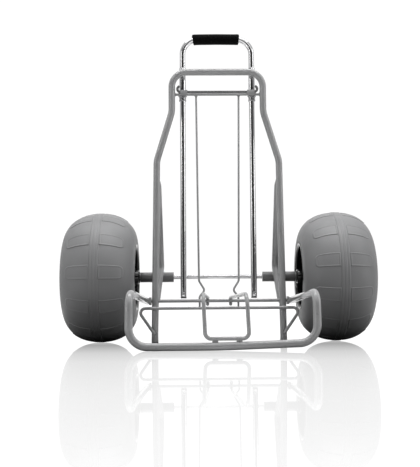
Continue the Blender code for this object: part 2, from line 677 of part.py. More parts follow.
def build_button(name_side, side, carrier, steel):
    """A sprung pin in the leg's front wall, with its head inside the leg."""
    bore = LEG_R - LEG_WALL
    head_front = sqrt((bore - PLAY) ** 2 - BUTTON_HEAD_R ** 2)
    tip = LEG_R + BUTTON_PROUD
    dome = BUTTON_R / 3
    steps = [(head_front - BUTTON_HEAD, BUTTON_HEAD_R), (head_front, BUTTON_HEAD_R), (head_front, BUTTON_R),
             (tip - dome, BUTTON_R), (tip, BUTTON_R - dome)]
    centre = (side * LEG_HALF, GUIDE_Y, BUTTON_Z)
    button = stud(centre, (0, -1, 0), steps, SMALL_SEGMENTS)
    add_piece(f"snap_button_{name_side}", button, steel, carrier, origin=centre)


# ---------------------------------------------------------------- wheels


def tyre_profile():
    """The tyre's section: round outside, an even wall, and two feet that sit on the rim."""
    quarter = 6
    outside, inside = [], []
    for step in range(-quarter, quarter + 1):
        a = radians(90) * step / quarter
        power = 2 / TYRE_ROUNDNESS
        wide = abs(sin(a)) ** power * (1 if step > 0 else -1)
        tall = abs(cos(a)) ** power
        rise = TYRE_R - TYRE_WIDEST_R
        outside.append((TYRE_HALF_WIDTH * wide, TYRE_WIDEST_R + rise * tall))
        inside.append(((TYRE_HALF_WIDTH - TYRE_WALL) * wide, TYRE_WIDEST_R + (rise - TYRE_WALL) * tall))
    over_flange = FLANGE_R + 2 * CONTACT_GAP
    foot = [(BEAD_HALF, over_flange), (BEAD_HALF, BEAD_R), (BEAD_HALF - BEAD_WIDTH, BEAD_R)]
    other_foot = [(-along, radius) for along, radius in reversed(foot)]
    return outside + foot + inside[::-2] + other_foot


def rim_profile(hub_end, sign):
    """Half a rim: hub, web, barrel and flange, from its middle face outwards."""
    face = CONTACT_GAP / 2
    web_out = WEB_INSET + WEB_THICKNESS
    inner_r = BARREL_R - BARREL_WALL
    flange_in = BEAD_HALF + CONTACT_GAP
    points = [
        (face, BUSH_OUTER_R + PLAY), (hub_end, BUSH_OUTER_R + PLAY), (hub_end, HUB_R - HUB_CHAMFER),
        (hub_end - HUB_CHAMFER, HUB_R), (web_out, HUB_R + HUB_DRAFT), (web_out, inner_r),
        (flange_in + FLANGE_THICKNESS, inner_r), (flange_in + FLANGE_THICKNESS, FLANGE_R),
        (flange_in, FLANGE_R), (flange_in, BARREL_R), (face, BARREL_R), (face, inner_r),
        (WEB_INSET, inner_r), (WEB_INSET, HUB_R), (face, HUB_R),
    ]
    return [(sign * along, radius) for along, radius in points]


def build_ribs(name, centre, axis, hub_end, carrier, plastic):
    """Flat ribs from the hub to the barrel, as one helper that is joined with the rim."""
    start = WEB_INSET + WEB_THICKNESS / 2
    end = min(BEAD_HALF - RIB_DROP, hub_end - RIB_DROP / 2)
    tip_r = BARREL_R - BARREL_WALL / 2
    root_r = HUB_R - RIB_THICKNESS / 2
    bm = bmesh.new()
    axis = Vector(axis)
    for rib in range(RIB_COUNT):
        turn = 2 * radians(180) * (rib + 0.5) / RIB_COUNT
        out = Vector((0, cos(turn), sin(turn)))
        across = axis.cross(out)
        rows = []
        for radius, along in ((root_r, start), (tip_r, start), (tip_r, end), (root_r, end)):
            point = Vector(centre) + out * radius + axis * along
            rows.append([bm.verts.new(point + across * RIB_THICKNESS / 2 * s) for s in (-1, 1)])
        for index in range(4):
            first, second = rows[index], rows[(index + 1) % 4]
            bm.faces.new((first[0], second[0], second[1], first[1]))
        bm.faces.new([row[0] for row in rows])
        bm.faces.new([row[1] for row in rows])
    return add_piece(name, bm, plastic, carrier)


def build_wheel(name_side, side, carrier, rubber, plastic, steel):
    centre = (side * WHEEL_HALF, AXLE_Y, AXLE_Z)
    axis = Vector((side, 0, 0))
    tyre = turned(tyre_profile(), centre, axis, WHEEL_SEGMENTS)
    add_piece(f"tyre_{name_side}", tyre, rubber, carrier)
    valve_out = Vector((0, 1, 0))      # between two ribs
    valve_foot = Vector(centre) + axis * VALVE_OFFSET + valve_out * (BARREL_R - BARREL_WALL)
    for where, sign, hub_end in (("inner", -1, HUB_INNER_END), ("outer", 1, HUB_OUTER_END)):
        rim = turned(rim_profile(hub_end, sign), centre, axis, WHEEL_SEGMENTS)
        rim = add_piece(f"rim_{where}_{name_side}", rim, plastic, carrier)
        ribs = build_ribs(f"ribs_{where}_{name_side}", centre, axis * sign, hub_end, carrier, plastic)
        combine(rim, ribs, "UNION")
        if sign > 0:
            drill = [(-BARREL_WALL, VALVE_R + PLAY), (2 * BARREL_WALL, VALVE_R + PLAY)]
            drill = stud(valve_foot, valve_out, drill, SMALL_SEGMENTS)
            combine(rim, add_piece(f"valve_drill_{name_side}", drill, plastic, carrier), "DIFFERENCE")
        flange_end = hub_end + CONTACT_GAP + BUSH_FLANGE
        bush = turned([(hub_end - BUSH_LENGTH, AXLE_R + PLAY), (flange_end, AXLE_R + PLAY),
                       (flange_end, BUSH_FLANGE_R), (hub_end + CONTACT_GAP, BUSH_FLANGE_R),
                       (hub_end + CONTACT_GAP, BUSH_OUTER_R), (hub_end - BUSH_LENGTH, BUSH_OUTER_R)],
                      centre, axis * sign, SMALL_SEGMENTS)
        add_piece(f"hub_bush_{where}_{name_side}", bush, plastic, carrier)
    stem = [(VALVE_FOOT - VALVE_LENGTH, VALVE_R), (-VALVE_FOOT, VALVE_R), (-VALVE_FOOT, VALVE_COLLAR_R),
            (-2 * CONTACT_GAP, VALVE_COLLAR_R), (-2 * CONTACT_GAP, VALVE_R), (BARREL_WALL + VALVE_HEAD, VALVE_R)]
    add_piece(f"valve_stem_{name_side}", stud(valve_foot, valve_out, stem, SMALL_SEGMENTS), steel, carrier)


def build_cart():
    clear_scene()
    paint = material("grey_paint", (0.34, 0.34, 0.35), 0.35)
    chrome = material("chrome", (0.75, 0.75, 0.76), 0.08, 1.0)
    steel = material("zinc_steel", (0.55, 0.55, 0.56), 0.3, 1.0)
    rubber = material("grey_tyre", (0.22, 0.22, 0.23), 0.5)
    gloss = material("black_gloss_plastic", (0.012, 0.012, 0.013), 0.2)
    plastic = material("black_plastic", (0.02, 0.02, 0.021), 0.45)
    foam = material("black_foam", (0.012, 0.012, 0.013), 0.85)

    cart = pivot("cart", (0, MIDDLE_Y, 0))
    build_main_frame(cart, paint)
    build_upper_rods(cart, paint)
    build_hinge(cart, steel)
    build_ledge_wire(cart, paint)
    build_axle(cart, paint, steel, plastic)
    nose = pivot("nose_hinge", (0, 0, HINGE_Z), cart)
    build_nose_loop(nose, paint)
    build_bail(nose, paint)
    handle = pivot("handle_slide", (0, GUIDE_Y, 0), cart)
    build_handle(handle, chrome, foam)
    for name_side, side in both_sides():
        build_foot_plug(f"foot_plug_{name_side}", side, cart, plastic)
        build_guide(name_side, side, cart, paint, chrome, steel)
        build_back_wire(f"back_wire_{name_side}", side, cart, paint)
        build_rear_brace(f"rear_brace_{name_side}", side, cart, paint)
        build_nose_eye(name_side, side, nose, steel)
        build_leg_fittings(name_side, side, handle, plastic, steel)
        build_button(name_side, side, handle, steel)
        wheel = pivot(f"wheel_{name_side}", (side * WHEEL_HALF, AXLE_Y, AXLE_Z), cart)
        build_wheel(name_side, side, wheel, rubber, gloss, steel)


build_cart()
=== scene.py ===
import bpy
from math import cos, pi, radians, sin, sqrt, tan
from mathutils import Matrix, Vector


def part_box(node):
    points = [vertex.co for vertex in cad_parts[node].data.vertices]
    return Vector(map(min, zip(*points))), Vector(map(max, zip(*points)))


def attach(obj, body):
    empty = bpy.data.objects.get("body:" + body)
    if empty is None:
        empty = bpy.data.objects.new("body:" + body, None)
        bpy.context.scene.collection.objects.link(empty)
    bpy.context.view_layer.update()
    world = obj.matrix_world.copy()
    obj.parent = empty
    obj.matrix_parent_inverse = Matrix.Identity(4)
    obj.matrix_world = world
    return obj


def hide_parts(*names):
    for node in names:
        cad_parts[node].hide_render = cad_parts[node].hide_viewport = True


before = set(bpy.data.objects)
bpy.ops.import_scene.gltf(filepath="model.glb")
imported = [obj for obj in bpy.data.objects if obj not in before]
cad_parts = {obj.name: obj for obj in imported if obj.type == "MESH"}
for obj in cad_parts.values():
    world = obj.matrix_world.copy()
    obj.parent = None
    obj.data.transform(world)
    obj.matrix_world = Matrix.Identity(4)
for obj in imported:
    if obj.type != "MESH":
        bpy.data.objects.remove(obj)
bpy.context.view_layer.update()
print("frame loaded:", len(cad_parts), "nodes")


# places that every piece shares, read from the frame

def middleOf(node):
    low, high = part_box(node)
    return (low + high) / 2


def spanOf(node):
    low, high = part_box(node)
    return high - low


bothSides = (("Left", "left", -1), ("Right", "right", 1))
uprightY = middleOf("main_frame").y
tubeR = spanOf("main_frame").y / 2
hinge = middleOf("hinge_rod")
axle = middleOf("axle_rod")
guide = middleOf("guide_sleeve_right")
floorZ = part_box("tyre_left")[0].z
poleR = 0.00005    # turned shapes stop this far from their axis
fit = 0.0003       # play between a rod and its bore


# mesh helpers

def gridFaces(rows, count, ringed=False, looped=True, capped=False):
    faces = []
    for k in range(rows if ringed else rows - 1):
        here, there = k * count, ((k + 1) % rows) * count
        for i in range(count if looped else count - 1):
            j = (i + 1) % count
            faces.append((here + i, here + j, there + j, there + i))
    if capped:
        faces += [tuple(range(count)), tuple(range((rows - 1) * count, rows * count))]
    return faces


def addMesh(name, points, faces):
    mesh = bpy.data.meshes.new(name)
    mesh.from_pydata([tuple(p) for p in points], [], faces)
    mesh.update()
    piece = bpy.data.objects.new(name, mesh)
    bpy.context.scene.collection.objects.link(piece)
    return piece


def outward(piece):
    mesh = piece.data
    mesh.calc_loop_triangles()
    volume = 0.0
    for tri in mesh.loop_triangles:
        a, b, c = (mesh.vertices[i].co for i in tri.vertices)
        volume += a.dot(b.cross(c))
    if volume < 0:
        mesh.flip_normals()


def dress(piece, finish, body, slotName, *nodes, edge=38):
    outward(piece)
    piece.data.shade_smooth()
    piece.data.set_sharp_from_angle(angle=radians(edge))
    piece.data.materials.append(finish)
    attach(piece, body)
    if nodes:
        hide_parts(*nodes)
    return piece


def bentPath(corners, radii, step=7):
    path = [Vector(corners[0])]
    for before, corner, after, radius in zip(corners, corners[1:], corners[2:], radii):
        corner = Vector(corner)
        back = (Vector(before) - corner).normalized()
        ahead = (Vector(after) - corner).normalized()
        turn = (-back).angle(ahead)
        if turn < 1e-4 or radius <= 0:
            path.append(corner)
            continue
        setback = radius * tan(turn / 2)
        centre = corner + (back + ahead).normalized() * radius / cos(turn / 2)
        start = corner + back * setback - centre
        axis = start.cross(corner + ahead * setback - centre).normalized()
        steps = max(3, round(turn / radians(step)))
        path += [centre + Matrix.Rotation(turn * i / steps, 3, axis) @ start for i in range(steps + 1)]
    path.append(Vector(corners[-1]))
    return path


def smooth(t):
    t = min(1.0, max(0.0, t))
    return t * t * (3 - 2 * t)


def bothHalves(corners):
    return corners + [(-x, y, z) for x, y, z in reversed(corners)]


def arcPoints(centre, radius, start, end, steps, across, up):
    turns = [radians(start + (end - start) * i / steps) for i in range(steps + 1)]
    return [Vector(centre) + radius * (cos(a) * Vector(across) + sin(a) * Vector(up)) for a in turns]


def roundedLoop(points, radius, steps=3):
    loop = []
    count = len(points)
    for i in range(count):
        here = Vector(points[i])
        back = Vector(points[i - 1]) - here
        ahead = Vector(points[(i + 1) % count]) - here
        reach = min(radius, back.length * 0.42, ahead.length * 0.42)
        if reach < 1e-5 or abs(back.normalized().dot(ahead.normalized())) > 0.995:
            loop.append(here)
            continue
        first = here + back.normalized() * reach
        last = here + ahead.normalized() * reach
        for j in range(steps + 1):
            t = j / steps
            loop.append(first * (1 - t) ** 2 + here * 2 * t * (1 - t) + last * t ** 2)
    return loop


def sweep(name, path, radius, sides=24, capEdge=0.0006, flat=None, fixedNormal=None):
    radii = radius if isinstance(radius, list) else [radius] * len(path)
    flats = flat or [1.0] * len(path)
    points = []
    normal = None
    last = len(path) - 1

    def addRing(centre, tangent, r, squeeze):
        across = tangent.cross(normal)
        for i in range(sides):
            a = 2 * pi * i / sides
            points.append(centre + r * (cos(a) * normal * squeeze + sin(a) * across * (2 - squeeze) ** 0.6))

    for i, point in enumerate(path):
        arrive = (point - path[i - 1]).normalized() if i else Vector()
        leave = (path[i + 1] - point).normalized() if i < last else Vector()
        tangent = (arrive + leave).normalized()
        if normal is None:
            normal = Vector(fixedNormal) if fixedNormal else tangent.orthogonal().normalized()
        normal = (normal - normal.dot(tangent) * tangent).normalized()
        if i == 0:
            addRing(point, tangent, radii[0] - capEdge, flats[0])
            addRing(point + tangent * capEdge * 0.3, tangent, radii[0] - capEdge * 0.3, flats[0])
            addRing(point + tangent * capEdge, tangent, radii[0], flats[0])
        elif i == last:
            addRing(point - tangent * capEdge, tangent, radii[i], flats[i])
            addRing(point - tangent * capEdge * 0.3, tangent, radii[i] - capEdge * 0.3, flats[i])
            addRing(point, tangent, radii[i] - capEdge, flats[i])
        else:
            addRing(point, tangent, radii[i], flats[i])
    return addMesh(name, points, gridFaces(len(points) // sides, sides, capped=True))


def lathe(name, profile, centre, axis, segments=48, closed=True, wave=None):
    axis = Vector(axis).normalized()
    normal = Vector((0, 0, 1)) if abs(axis.z) < 0.9 else Vector((1, 0, 0))
    normal = (normal - normal.dot(axis) * axis).normalized()
    side = axis.cross(normal)
    points = []
    for k in range(segments):
        a = 2 * pi * k / segments
        out = cos(a) * normal + sin(a) * side
        for along, r in profile:
            grow = wave(a, along, r) if wave else 0.0
            points.append(Vector(centre) + axis * along + out * (r + grow))
    count = len(profile)
    faces = gridFaces(segments, count, ringed=True, looped=closed)
    if not closed:
        faces.append(tuple(k * count for k in range(segments)))
        faces.append(tuple(k * count + count - 1 for k in range(segments)))
    return addMesh(name, points, faces)


def turnedSection(name, section, centre, axis, segments, edge, steps=3):
    loop = roundedLoop([(along, r, 0) for along, r in section], edge, steps)
    return lathe(name, [(p.x, p.y) for p in loop], centre, axis, segments)


def turnedRing(name, start, end, bore, outer, centre, axis, segments=48, edge=0.0004):
    section = [(start, bore), (end, bore), (end, outer), (start, outer)]
    return turnedSection(name, section, centre, axis, segments, edge)


def turnedSolid(name, steps, centre, axis, segments=48, edge=0.0004):
    corners = [(steps[0][0], poleR), *steps, (steps[-1][0], poleR)]
    path = [Vector((a, r, 0)) for a, r in corners]
    line = [path[0]]
    for i in range(1, len(path) - 1):
        back, ahead = path[i - 1] - path[i], path[i + 1] - path[i]
        reach = min(edge, back.length * 0.45, ahead.length * 0.45)
        first, last = path[i] + back.normalized() * reach, path[i] + ahead.normalized() * reach
        for t in (0.0, 0.35, 0.65, 1.0):
            line.append(first * (1 - t) ** 2 + path[i] * 2 * t * (1 - t) + last * t ** 2)
    line.append(path[-1])
    return lathe(name, [(p.x, p.y) for p in line], centre, axis, segments, closed=False)


def joinPieces(name, pieces):
    points, faces = [], []
    for piece in pieces:
        start = len(points)
        outward(piece)
        points += [v.co.copy() for v in piece.data.vertices]
        faces += [tuple(start + i for i in polygon.vertices) for polygon in piece.data.polygons]
        mesh = piece.data
        bpy.data.objects.remove(piece)
        bpy.data.meshes.remove(mesh)
    return addMesh(name, points, faces)


def box(name, low, high, edge=0.0005):
    low, high = Vector(low), Vector(high)
    middle, half = (low + high) / 2, (high - low) / 2
    outline = [(-half.x, -half.y, 0), (half.x, -half.y, 0), (half.x, half.y, 0), (-half.x, half.y, 0)]
    outline = roundedLoop(outline, edge)
    points = []
    levels = [(-half.z, edge), (-half.z + edge * 0.3, edge * 0.3), (-half.z + edge, 0.0),
              (half.z - edge, 0.0), (half.z - edge * 0.3, edge * 0.3), (half.z, edge)]
    for z, shrink in levels:
        for p in outline:
            points.append(middle + Vector((p.x * (1 - shrink / half.x), p.y * (1 - shrink / half.y), z)))
    return addMesh(name, points, gridFaces(len(levels), len(outline), capped=True))


# finishes

def shaderTree(name):
    finish = bpy.data.materials.new(name)
    finish.use_nodes = True
    return finish, finish.node_tree, finish.node_tree.nodes["Principled BSDF"]


def addNode(tree, kind, **values):
    node = tree.nodes.new("ShaderNode" + kind)
    for key, value in values.items():
        setattr(node, key, value)
    return node


def noiseOf(tree, scale, detail=4.0, roughness=0.55, stretch=None):
    place = addNode(tree, "TexCoord")
    source = place.outputs["Object"]
    if stretch:
        mapping = addNode(tree, "Mapping")
        mapping.inputs["Scale"].default_value = stretch
        tree.links.new(source, mapping.inputs["Vector"])
        source = mapping.outputs["Vector"]
    noise = addNode(tree, "TexNoise")
    noise.inputs["Scale"].default_value = scale
    noise.inputs["Detail"].default_value = detail
    noise.inputs["Roughness"].default_value = roughness
    tree.links.new(source, noise.inputs["Vector"])
    return noise.outputs["Fac"]


def ranged(tree, value, low, high, fromLow=0.3, fromHigh=0.7):
    spread = addNode(tree, "MapRange")
    spread.inputs["From Min"].default_value = fromLow
    spread.inputs["From Max"].default_value = fromHigh
    spread.inputs["To Min"].default_value = low
    spread.inputs["To Max"].default_value = high
    tree.links.new(value, spread.inputs["Value"])
    return spread.outputs["Result"]


def tinted(tree, value, dark, light, low=0.3, high=0.7):
    ramp = addNode(tree, "ValToRGB")
    ramp.color_ramp.elements[0].position = low
    ramp.color_ramp.elements[0].color = (*dark, 1)
    ramp.color_ramp.elements[1].position = high
    ramp.color_ramp.elements[1].color = (*light, 1)
    tree.links.new(value, ramp.inputs["Fac"])
    return ramp.outputs["Color"]


def bumped(tree, shader, value, strength, distance, onto=None):
    bump = addNode(tree, "Bump")
    bump.inputs["Strength"].default_value = strength
    bump.inputs["Distance"].default_value = distance
    tree.links.new(value, bump.inputs["Height"])
    if onto:
        tree.links.new(onto, bump.inputs["Normal"])
    tree.links.new(bump.outputs["Normal"], shader.inputs["Normal"])
    return bump.outputs["Normal"]


def simpleFinish(name, dark, light, rough, metallic=0.0, coat=0.0, coatRough=0.1, colourScale=18, grain=900,
                 grainStrength=0.12, grainDepth=0.0002, stretch=None, specular=0.5):
    finish, tree, shader = shaderTree(name)
    tree.links.new(tinted(tree, noiseOf(tree, colourScale), dark, light), shader.inputs["Base Color"])
    tree.links.new(ranged(tree, noiseOf(tree, colourScale * 5, 6), *rough), shader.inputs["Roughness"])
    shader.inputs["Metallic"].default_value = metallic
    shader.inputs["Specular IOR Level"].default_value = specular
    shader.inputs["Coat Weight"].default_value = coat
    shader.inputs["Coat Roughness"].default_value = coatRough
    bumped(tree, shader, noiseOf(tree, grain, 2, stretch=stretch), grainStrength, grainDepth)
    return finish


finishes = {
    "paint": simpleFinish("greyPowderCoat", (0.255, 0.256, 0.259), (0.290, 0.291, 0.294), (0.26, 0.38), coat=1.0,
                          coatRough=0.045, grain=420, grainStrength=0.07),
    "chrome": simpleFinish("chromePlate", (0.78, 0.78, 0.79), (0.88, 0.88, 0.89), (0.04, 0.09), metallic=1.0,
                           grain=260, grainStrength=0.03, stretch=(1, 1, 0.05)),
    "zinc": simpleFinish("brightZinc", (0.40, 0.40, 0.41), (0.55, 0.55, 0.56), (0.22, 0.36), metallic=1.0,
                         grain=700, grainStrength=0.08),
    # darker copy of the grey frame paint: painted shade for the hook bar and axle sleeves
    "paintWithPaintedShade": simpleFinish("greyPaintWithPaintedShade", (0.105, 0.106, 0.108), (0.130, 0.131, 0.133), (0.30, 0.42),
                                coat=0.8, coatRough=0.06, grain=420, grainStrength=0.07),
    "rim": simpleFinish("glossBlackRim", (0.002, 0.002, 0.0023), (0.004, 0.004, 0.0043), (0.10, 0.16), coat=0.6,
                        coatRough=0.03, grain=300, grainStrength=0.04),
    "plastic": simpleFinish("blackMoulding", (0.010, 0.010, 0.011), (0.017, 0.017, 0.018), (0.42, 0.55),
                            grain=1600, grainStrength=0.18),
}


def tyreFinish():
    finish, tree, shader = shaderTree("greyBalloonTyre")
    broad = noiseOf(tree, 7, 5)
    tree.links.new(tinted(tree, broad, (0.175, 0.176, 0.179), (0.205, 0.206, 0.209)), shader.inputs["Base Color"])
    tree.links.new(ranged(tree, noiseOf(tree, 60, 5), 0.40, 0.52), shader.inputs["Roughness"])
    shader.inputs["Specular IOR Level"].default_value = 0.45
    flow = bumped(tree, shader, noiseOf(tree, 14, 3), 0.10, 0.002)
    bumped(tree, shader, noiseOf(tree, 900, 2), 0.10, 0.0002, flow)
    return finish


def foamFinish():
    finish, tree, shader = shaderTree("blackGripFoam")
    place = addNode(tree, "TexCoord")
    cells = addNode(tree, "TexVoronoi")
    cells.inputs["Scale"].default_value = 1100
    tree.links.new(place.outputs["Object"], cells.inputs["Vector"])
    tree.links.new(tinted(tree, cells.outputs["Distance"], (0.0008, 0.0008, 0.0009), (0.0025, 0.0025, 0.0027)),
                   shader.inputs["Base Color"])
    shader.inputs["Roughness"].default_value = 0.88
    shader.inputs["Specular IOR Level"].default_value = 0.08
    shader.inputs["Sheen Weight"].default_value = 0.02
    flow = bumped(tree, shader, cells.outputs["Distance"], 0.5, 0.0004)
    bumped(tree, shader, noiseOf(tree, 160, 4), 0.25, 0.0006, flow)
    return finish


finishes["tyre"] = tyreFinish()
finishes["foam"] = foamFinish()
print("finishes made")


# weld beads

welds = {"frame": [], "nose": []}


def weldRing(body, centre, axis, ringR, beadR, ripples=11):
    section = [(beadR * cos(2 * pi * i / 10), ringR + beadR * sin(2 * pi * i / 10)) for i in range(10)]

    def ripple(a, along, r):
        return (r - ringR) * 0.35 * sin(ripples * a) + 0.12 * beadR * sin(3 * a + 1)

    welds[body].append(lathe("weld", section, centre, axis, 44, wave=ripple))


def weldRun(body, start, end, beadR):
    start, end = Vector(start), Vector(end)
    steps = max(6, round((end - start).length / (beadR * 0.35)))
    path = [start.lerp(end, i / steps) for i in range(steps + 1)]
    radii = [beadR * (0.88 + 0.12 * sin(i * 1.9)) for i in range(steps + 1)]
    welds[body].append(sweep("weld", path, radii, 12, beadR * 0.5))


# main tube of the frame

mainTubeShape = {
    "footHalf": 0.150,
    "bendStartZ": 0.017,
    "plugWall": 0.0018,
    "kneeHalf": 0.145,
    "kneeZ": 0.430,
    "shoulderHalf": 0.109,
    "shoulderZ": 0.54825,
    "cornerR": 0.036,
    "kneeR": 0.060,
    "sides": 36,
}


def makeMainTube():
    s = mainTubeShape
    low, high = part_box("main_frame")
    topZ = high.z - tubeR
    half = [(-s["footHalf"], uprightY, low.z), (-s["footHalf"], uprightY, s["bendStartZ"]),
            (-s["kneeHalf"], uprightY, s["kneeZ"]), (-s["shoulderHalf"], uprightY, s["shoulderZ"]),
            (-s["shoulderHalf"], uprightY, topZ)]
    radii = [0, s["kneeR"], s["kneeR"], s["cornerR"], s["cornerR"], s["kneeR"], s["kneeR"], 0]
    path = bentPath(bothHalves(half), radii, 4)
    tube = sweep("mainTube", path, tubeR, s["sides"])
    dress(tube, finishes["paint"], "frame", "frame_paint", "main_frame")
    for Side, side, sign in bothSides:
        node = f"foot_plug_{side}"
        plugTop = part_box(node)[1].z
        flange = low.z - fit
        spigot = tubeR - s["plugWall"]
        steps = [(0.0, tubeR - 0.0002), (flange, tubeR), (flange, spigot), (plugTop, spigot)]
        plug = turnedSolid(f"footPlug{Side}", steps, (sign * s["footHalf"], uprightY, 0), (0, 0, 1), 40, 0.0008)
        dress(plug, finishes["plastic"], "frame", "black_plastic", node)


def uprightAt(z):
    s = mainTubeShape
    return s["footHalf"] + (s["kneeHalf"] - s["footHalf"]) * z / s["kneeZ"]


# rods across the top, with the guides behind them

hookBarShape = {"curl": 0.0068, "reach": 0.0888, "sink": 0.0012, "weldHalf": 0.0035, "weldAside": 0.0075}


def makeUpperRods():
    low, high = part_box("upper_cross_bar")
    middle, rodR = (low + high) / 2, (high.z - low.z) / 2
    path = [Vector((low.x + (high.x - low.x) * i / 20, middle.y, middle.z)) for i in range(21)]
    bar = sweep("upperCrossBar", path, rodR, 20)
    dress(bar, finishes["paint"], "frame", "frame_paint", "upper_cross_bar")
    for x in (low.x, high.x):
        weldRing("frame", (x, middle.y, middle.z), (1, 0, 0), rodR * 1.05, 0.0012)
    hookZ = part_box("hook_bar")[0].z + rodR
    s = hookBarShape
    curl = s["curl"]
    centre = Vector((-s["reach"], middle.y - s["sink"], hookZ + curl))
    half = arcPoints(centre, curl, 100, 270, 18, (1, 0, 0), (0, -0.30, 0.95))
    half.append(Vector((-guide.x + 0.004, middle.y, hookZ)))
    path = half + [Vector((-p.x, p.y, p.z)) for p in reversed(half)]
    hook = sweep("hookBar", path, rodR, 20, rodR * 0.6)
    # hook bar in the darker copy of the frame paint: painted shade
    dress(hook, finishes["paintWithPaintedShade"], "frame", "frame_paint", "hook_bar")
    y, z = middle.y + rodR * 0.8 - 0.001, (middle.z + hookZ) / 2
    for sign in (-1, 1):
        for way in (-1, 1):
            x = sign * guide.x + way * s["weldAside"]
            weldRun("frame", (x, y, z - s["weldHalf"]), (x, y, z + s["weldHalf"]), 0.0019)


guideShape = {
    "facet": radians(15),    # half the angle of a CAD facet: its box is this much narrower than the round
    "ringWidth": 0.0030,
    "ringDepth": 0.0006,
    "lockR": 0.0033,
    "bandThick": 0.0013,
    "plateHalf": 0.0092,
    "plateThick": 0.0012,
    "plateInwards": 0.0028,
}


def makeGuides():
    s = guideShape
    bore = spanOf("handle_loop").y / 2 + fit
    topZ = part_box("main_frame")[1].z - tubeR
    for Side, side, sign in bothSides:
        low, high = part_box(f"guide_sleeve_{side}")
        x, y = (low.x + high.x) / 2, (low.y + high.y) / 2
        outer = (high.x - low.x) / 2 / cos(s["facet"])
        sleeve = turnedRing(f"guideSleeve{Side}", low.z, high.z, bore, outer, (x, y, 0), (0, 0, 1), 48, 0.0005)
        dress(sleeve, finishes["chrome"], "frame", "chrome_tube", f"guide_sleeve_{side}")
        weldRing("frame", (x, uprightY + tubeR * 0.93, topZ), (0, 1, 0), 0.0052, 0.0014)
        low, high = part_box(f"guide_bush_{side}")
        outer = (high.x - low.x) / 2 / cos(s["facet"])
        middleZ = (low.z + high.z) / 2
        ring, waist = s["ringWidth"], outer - s["ringDepth"]
        slope = ring + s["ringDepth"]
        section = [(low.z, bore), (high.z, bore), (high.z, outer), (high.z - ring, outer),
                   (high.z - slope, waist), (low.z + slope, waist), (low.z + ring, outer), (low.z, outer)]
        bush = turnedSection(f"guideBush{Side}", section, (x, y, 0), (0, 0, 1), 48, 0.0004)
        hole = turnedSolid("bushHole", [(0, s["lockR"]), (0.02, s["lockR"])], (x, y, middleZ), (0, -1, 0), 32, 0)
        cutBy(bush, hole)
        dress(bush, finishes["zinc"], "frame", "zinc_steel", f"guide_bush_{side}")
        low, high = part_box(f"sleeve_saddle_{side}")
        band = arcPoints((0, 0, 0), outer + 0.0002, -18, 198, 40, (1, 0, 0), (0, 1, 0))
        saddle = bandPlate(f"sleeveSaddle{Side}", band, s["bandThick"], (x, y, 0), low.z, high.z)
        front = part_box("upper_cross_bar")[0].y - fit
        plateX = x - sign * s["plateInwards"]
        plate = box("plate", (plateX - s["plateHalf"], front - s["plateThick"], low.z - 0.0008),
                    (plateX + s["plateHalf"], front, high.z + 0.0026), 0.0005)
        saddle = joinPieces(f"sleeveSaddle{Side}", [saddle, plate])
        dress(saddle, finishes["paint"], "frame", "frame_paint", f"sleeve_saddle_{side}")


def cutBy(piece, cutter):
    outward(piece)
    outward(cutter)
    modifier = piece.modifiers.new("cut", "BOOLEAN")
    modifier.operation = "DIFFERENCE"
    modifier.solver = "EXACT"
    modifier.object = cutter
    graph = bpy.context.evaluated_depsgraph_get()
    cut = bpy.data.meshes.new_from_object(piece.evaluated_get(graph))
    piece.modifiers.clear()
    old = piece.data
    piece.data = cut
    bpy.data.meshes.remove(old)
    bpy.data.objects.remove(cutter)


def bandPlate(name, band, thick, centre, lowZ, highZ):
    points = []
    section = roundedLoop([(0, lowZ, 0), (thick, lowZ, 0), (thick, highZ, 0), (0, highZ, 0)], thick * 0.3)
    for spot in band:
        for p in section:
            grow = 1 + p.x / spot.length
            points.append(Vector((centre[0] + spot.x * grow, centre[1] + spot.y * grow, p.y)))
    return addMesh(name, points, gridFaces(len(band), len(section), capped=True))


# the two back wires

wireShape = {
    "topHalf": 0.051,
    "lowHalf": 0.0468,
    "jogHalf": 0.0332,
    "endHalf": 0.0455,
    "lowZ": 0.145,
    "jogZ": 0.123,
    "returnZ": 0.1085,
    "wireR": 0.0024,
}


def makeBackWires():
    s = wireShape
    r = s["wireR"]
    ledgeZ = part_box("ledge_wire")[1].z - spanOf("ledge_wire").y / 2
    for Side, side, sign in bothSides:
        low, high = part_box(f"back_wire_{side}")
        y = high.y - r
        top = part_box("upper_cross_bar")[0].z - 0.0004
        corners = [
            (sign * s["topHalf"], y, top),
            (sign * s["lowHalf"], y, s["lowZ"]), (sign * s["jogHalf"], y, s["jogZ"]),
            (sign * s["endHalf"], y, s["returnZ"]), (sign * s["endHalf"], y, ledgeZ),
            (sign * s["endHalf"], low.y, ledgeZ),
        ]
        path = bentPath(corners, [5 * r, 3.5 * r, 3 * r, 3 * r, 3 * r], 9)
        wire = sweep(f"backWire{Side}", path, r, 16)
        dress(wire, finishes["paint"], "frame", "frame_paint", f"back_wire_{side}")
        weldRing("frame", (corners[0][0], y - 0.0004, top), (0, 0, 1), r * 1.05, 0.001)
        weldRing("frame", (corners[-1][0], low.y, ledgeZ), (0, 1, 0), r * 1.05, 0.001)


# hinge rod with its threaded ends and nuts

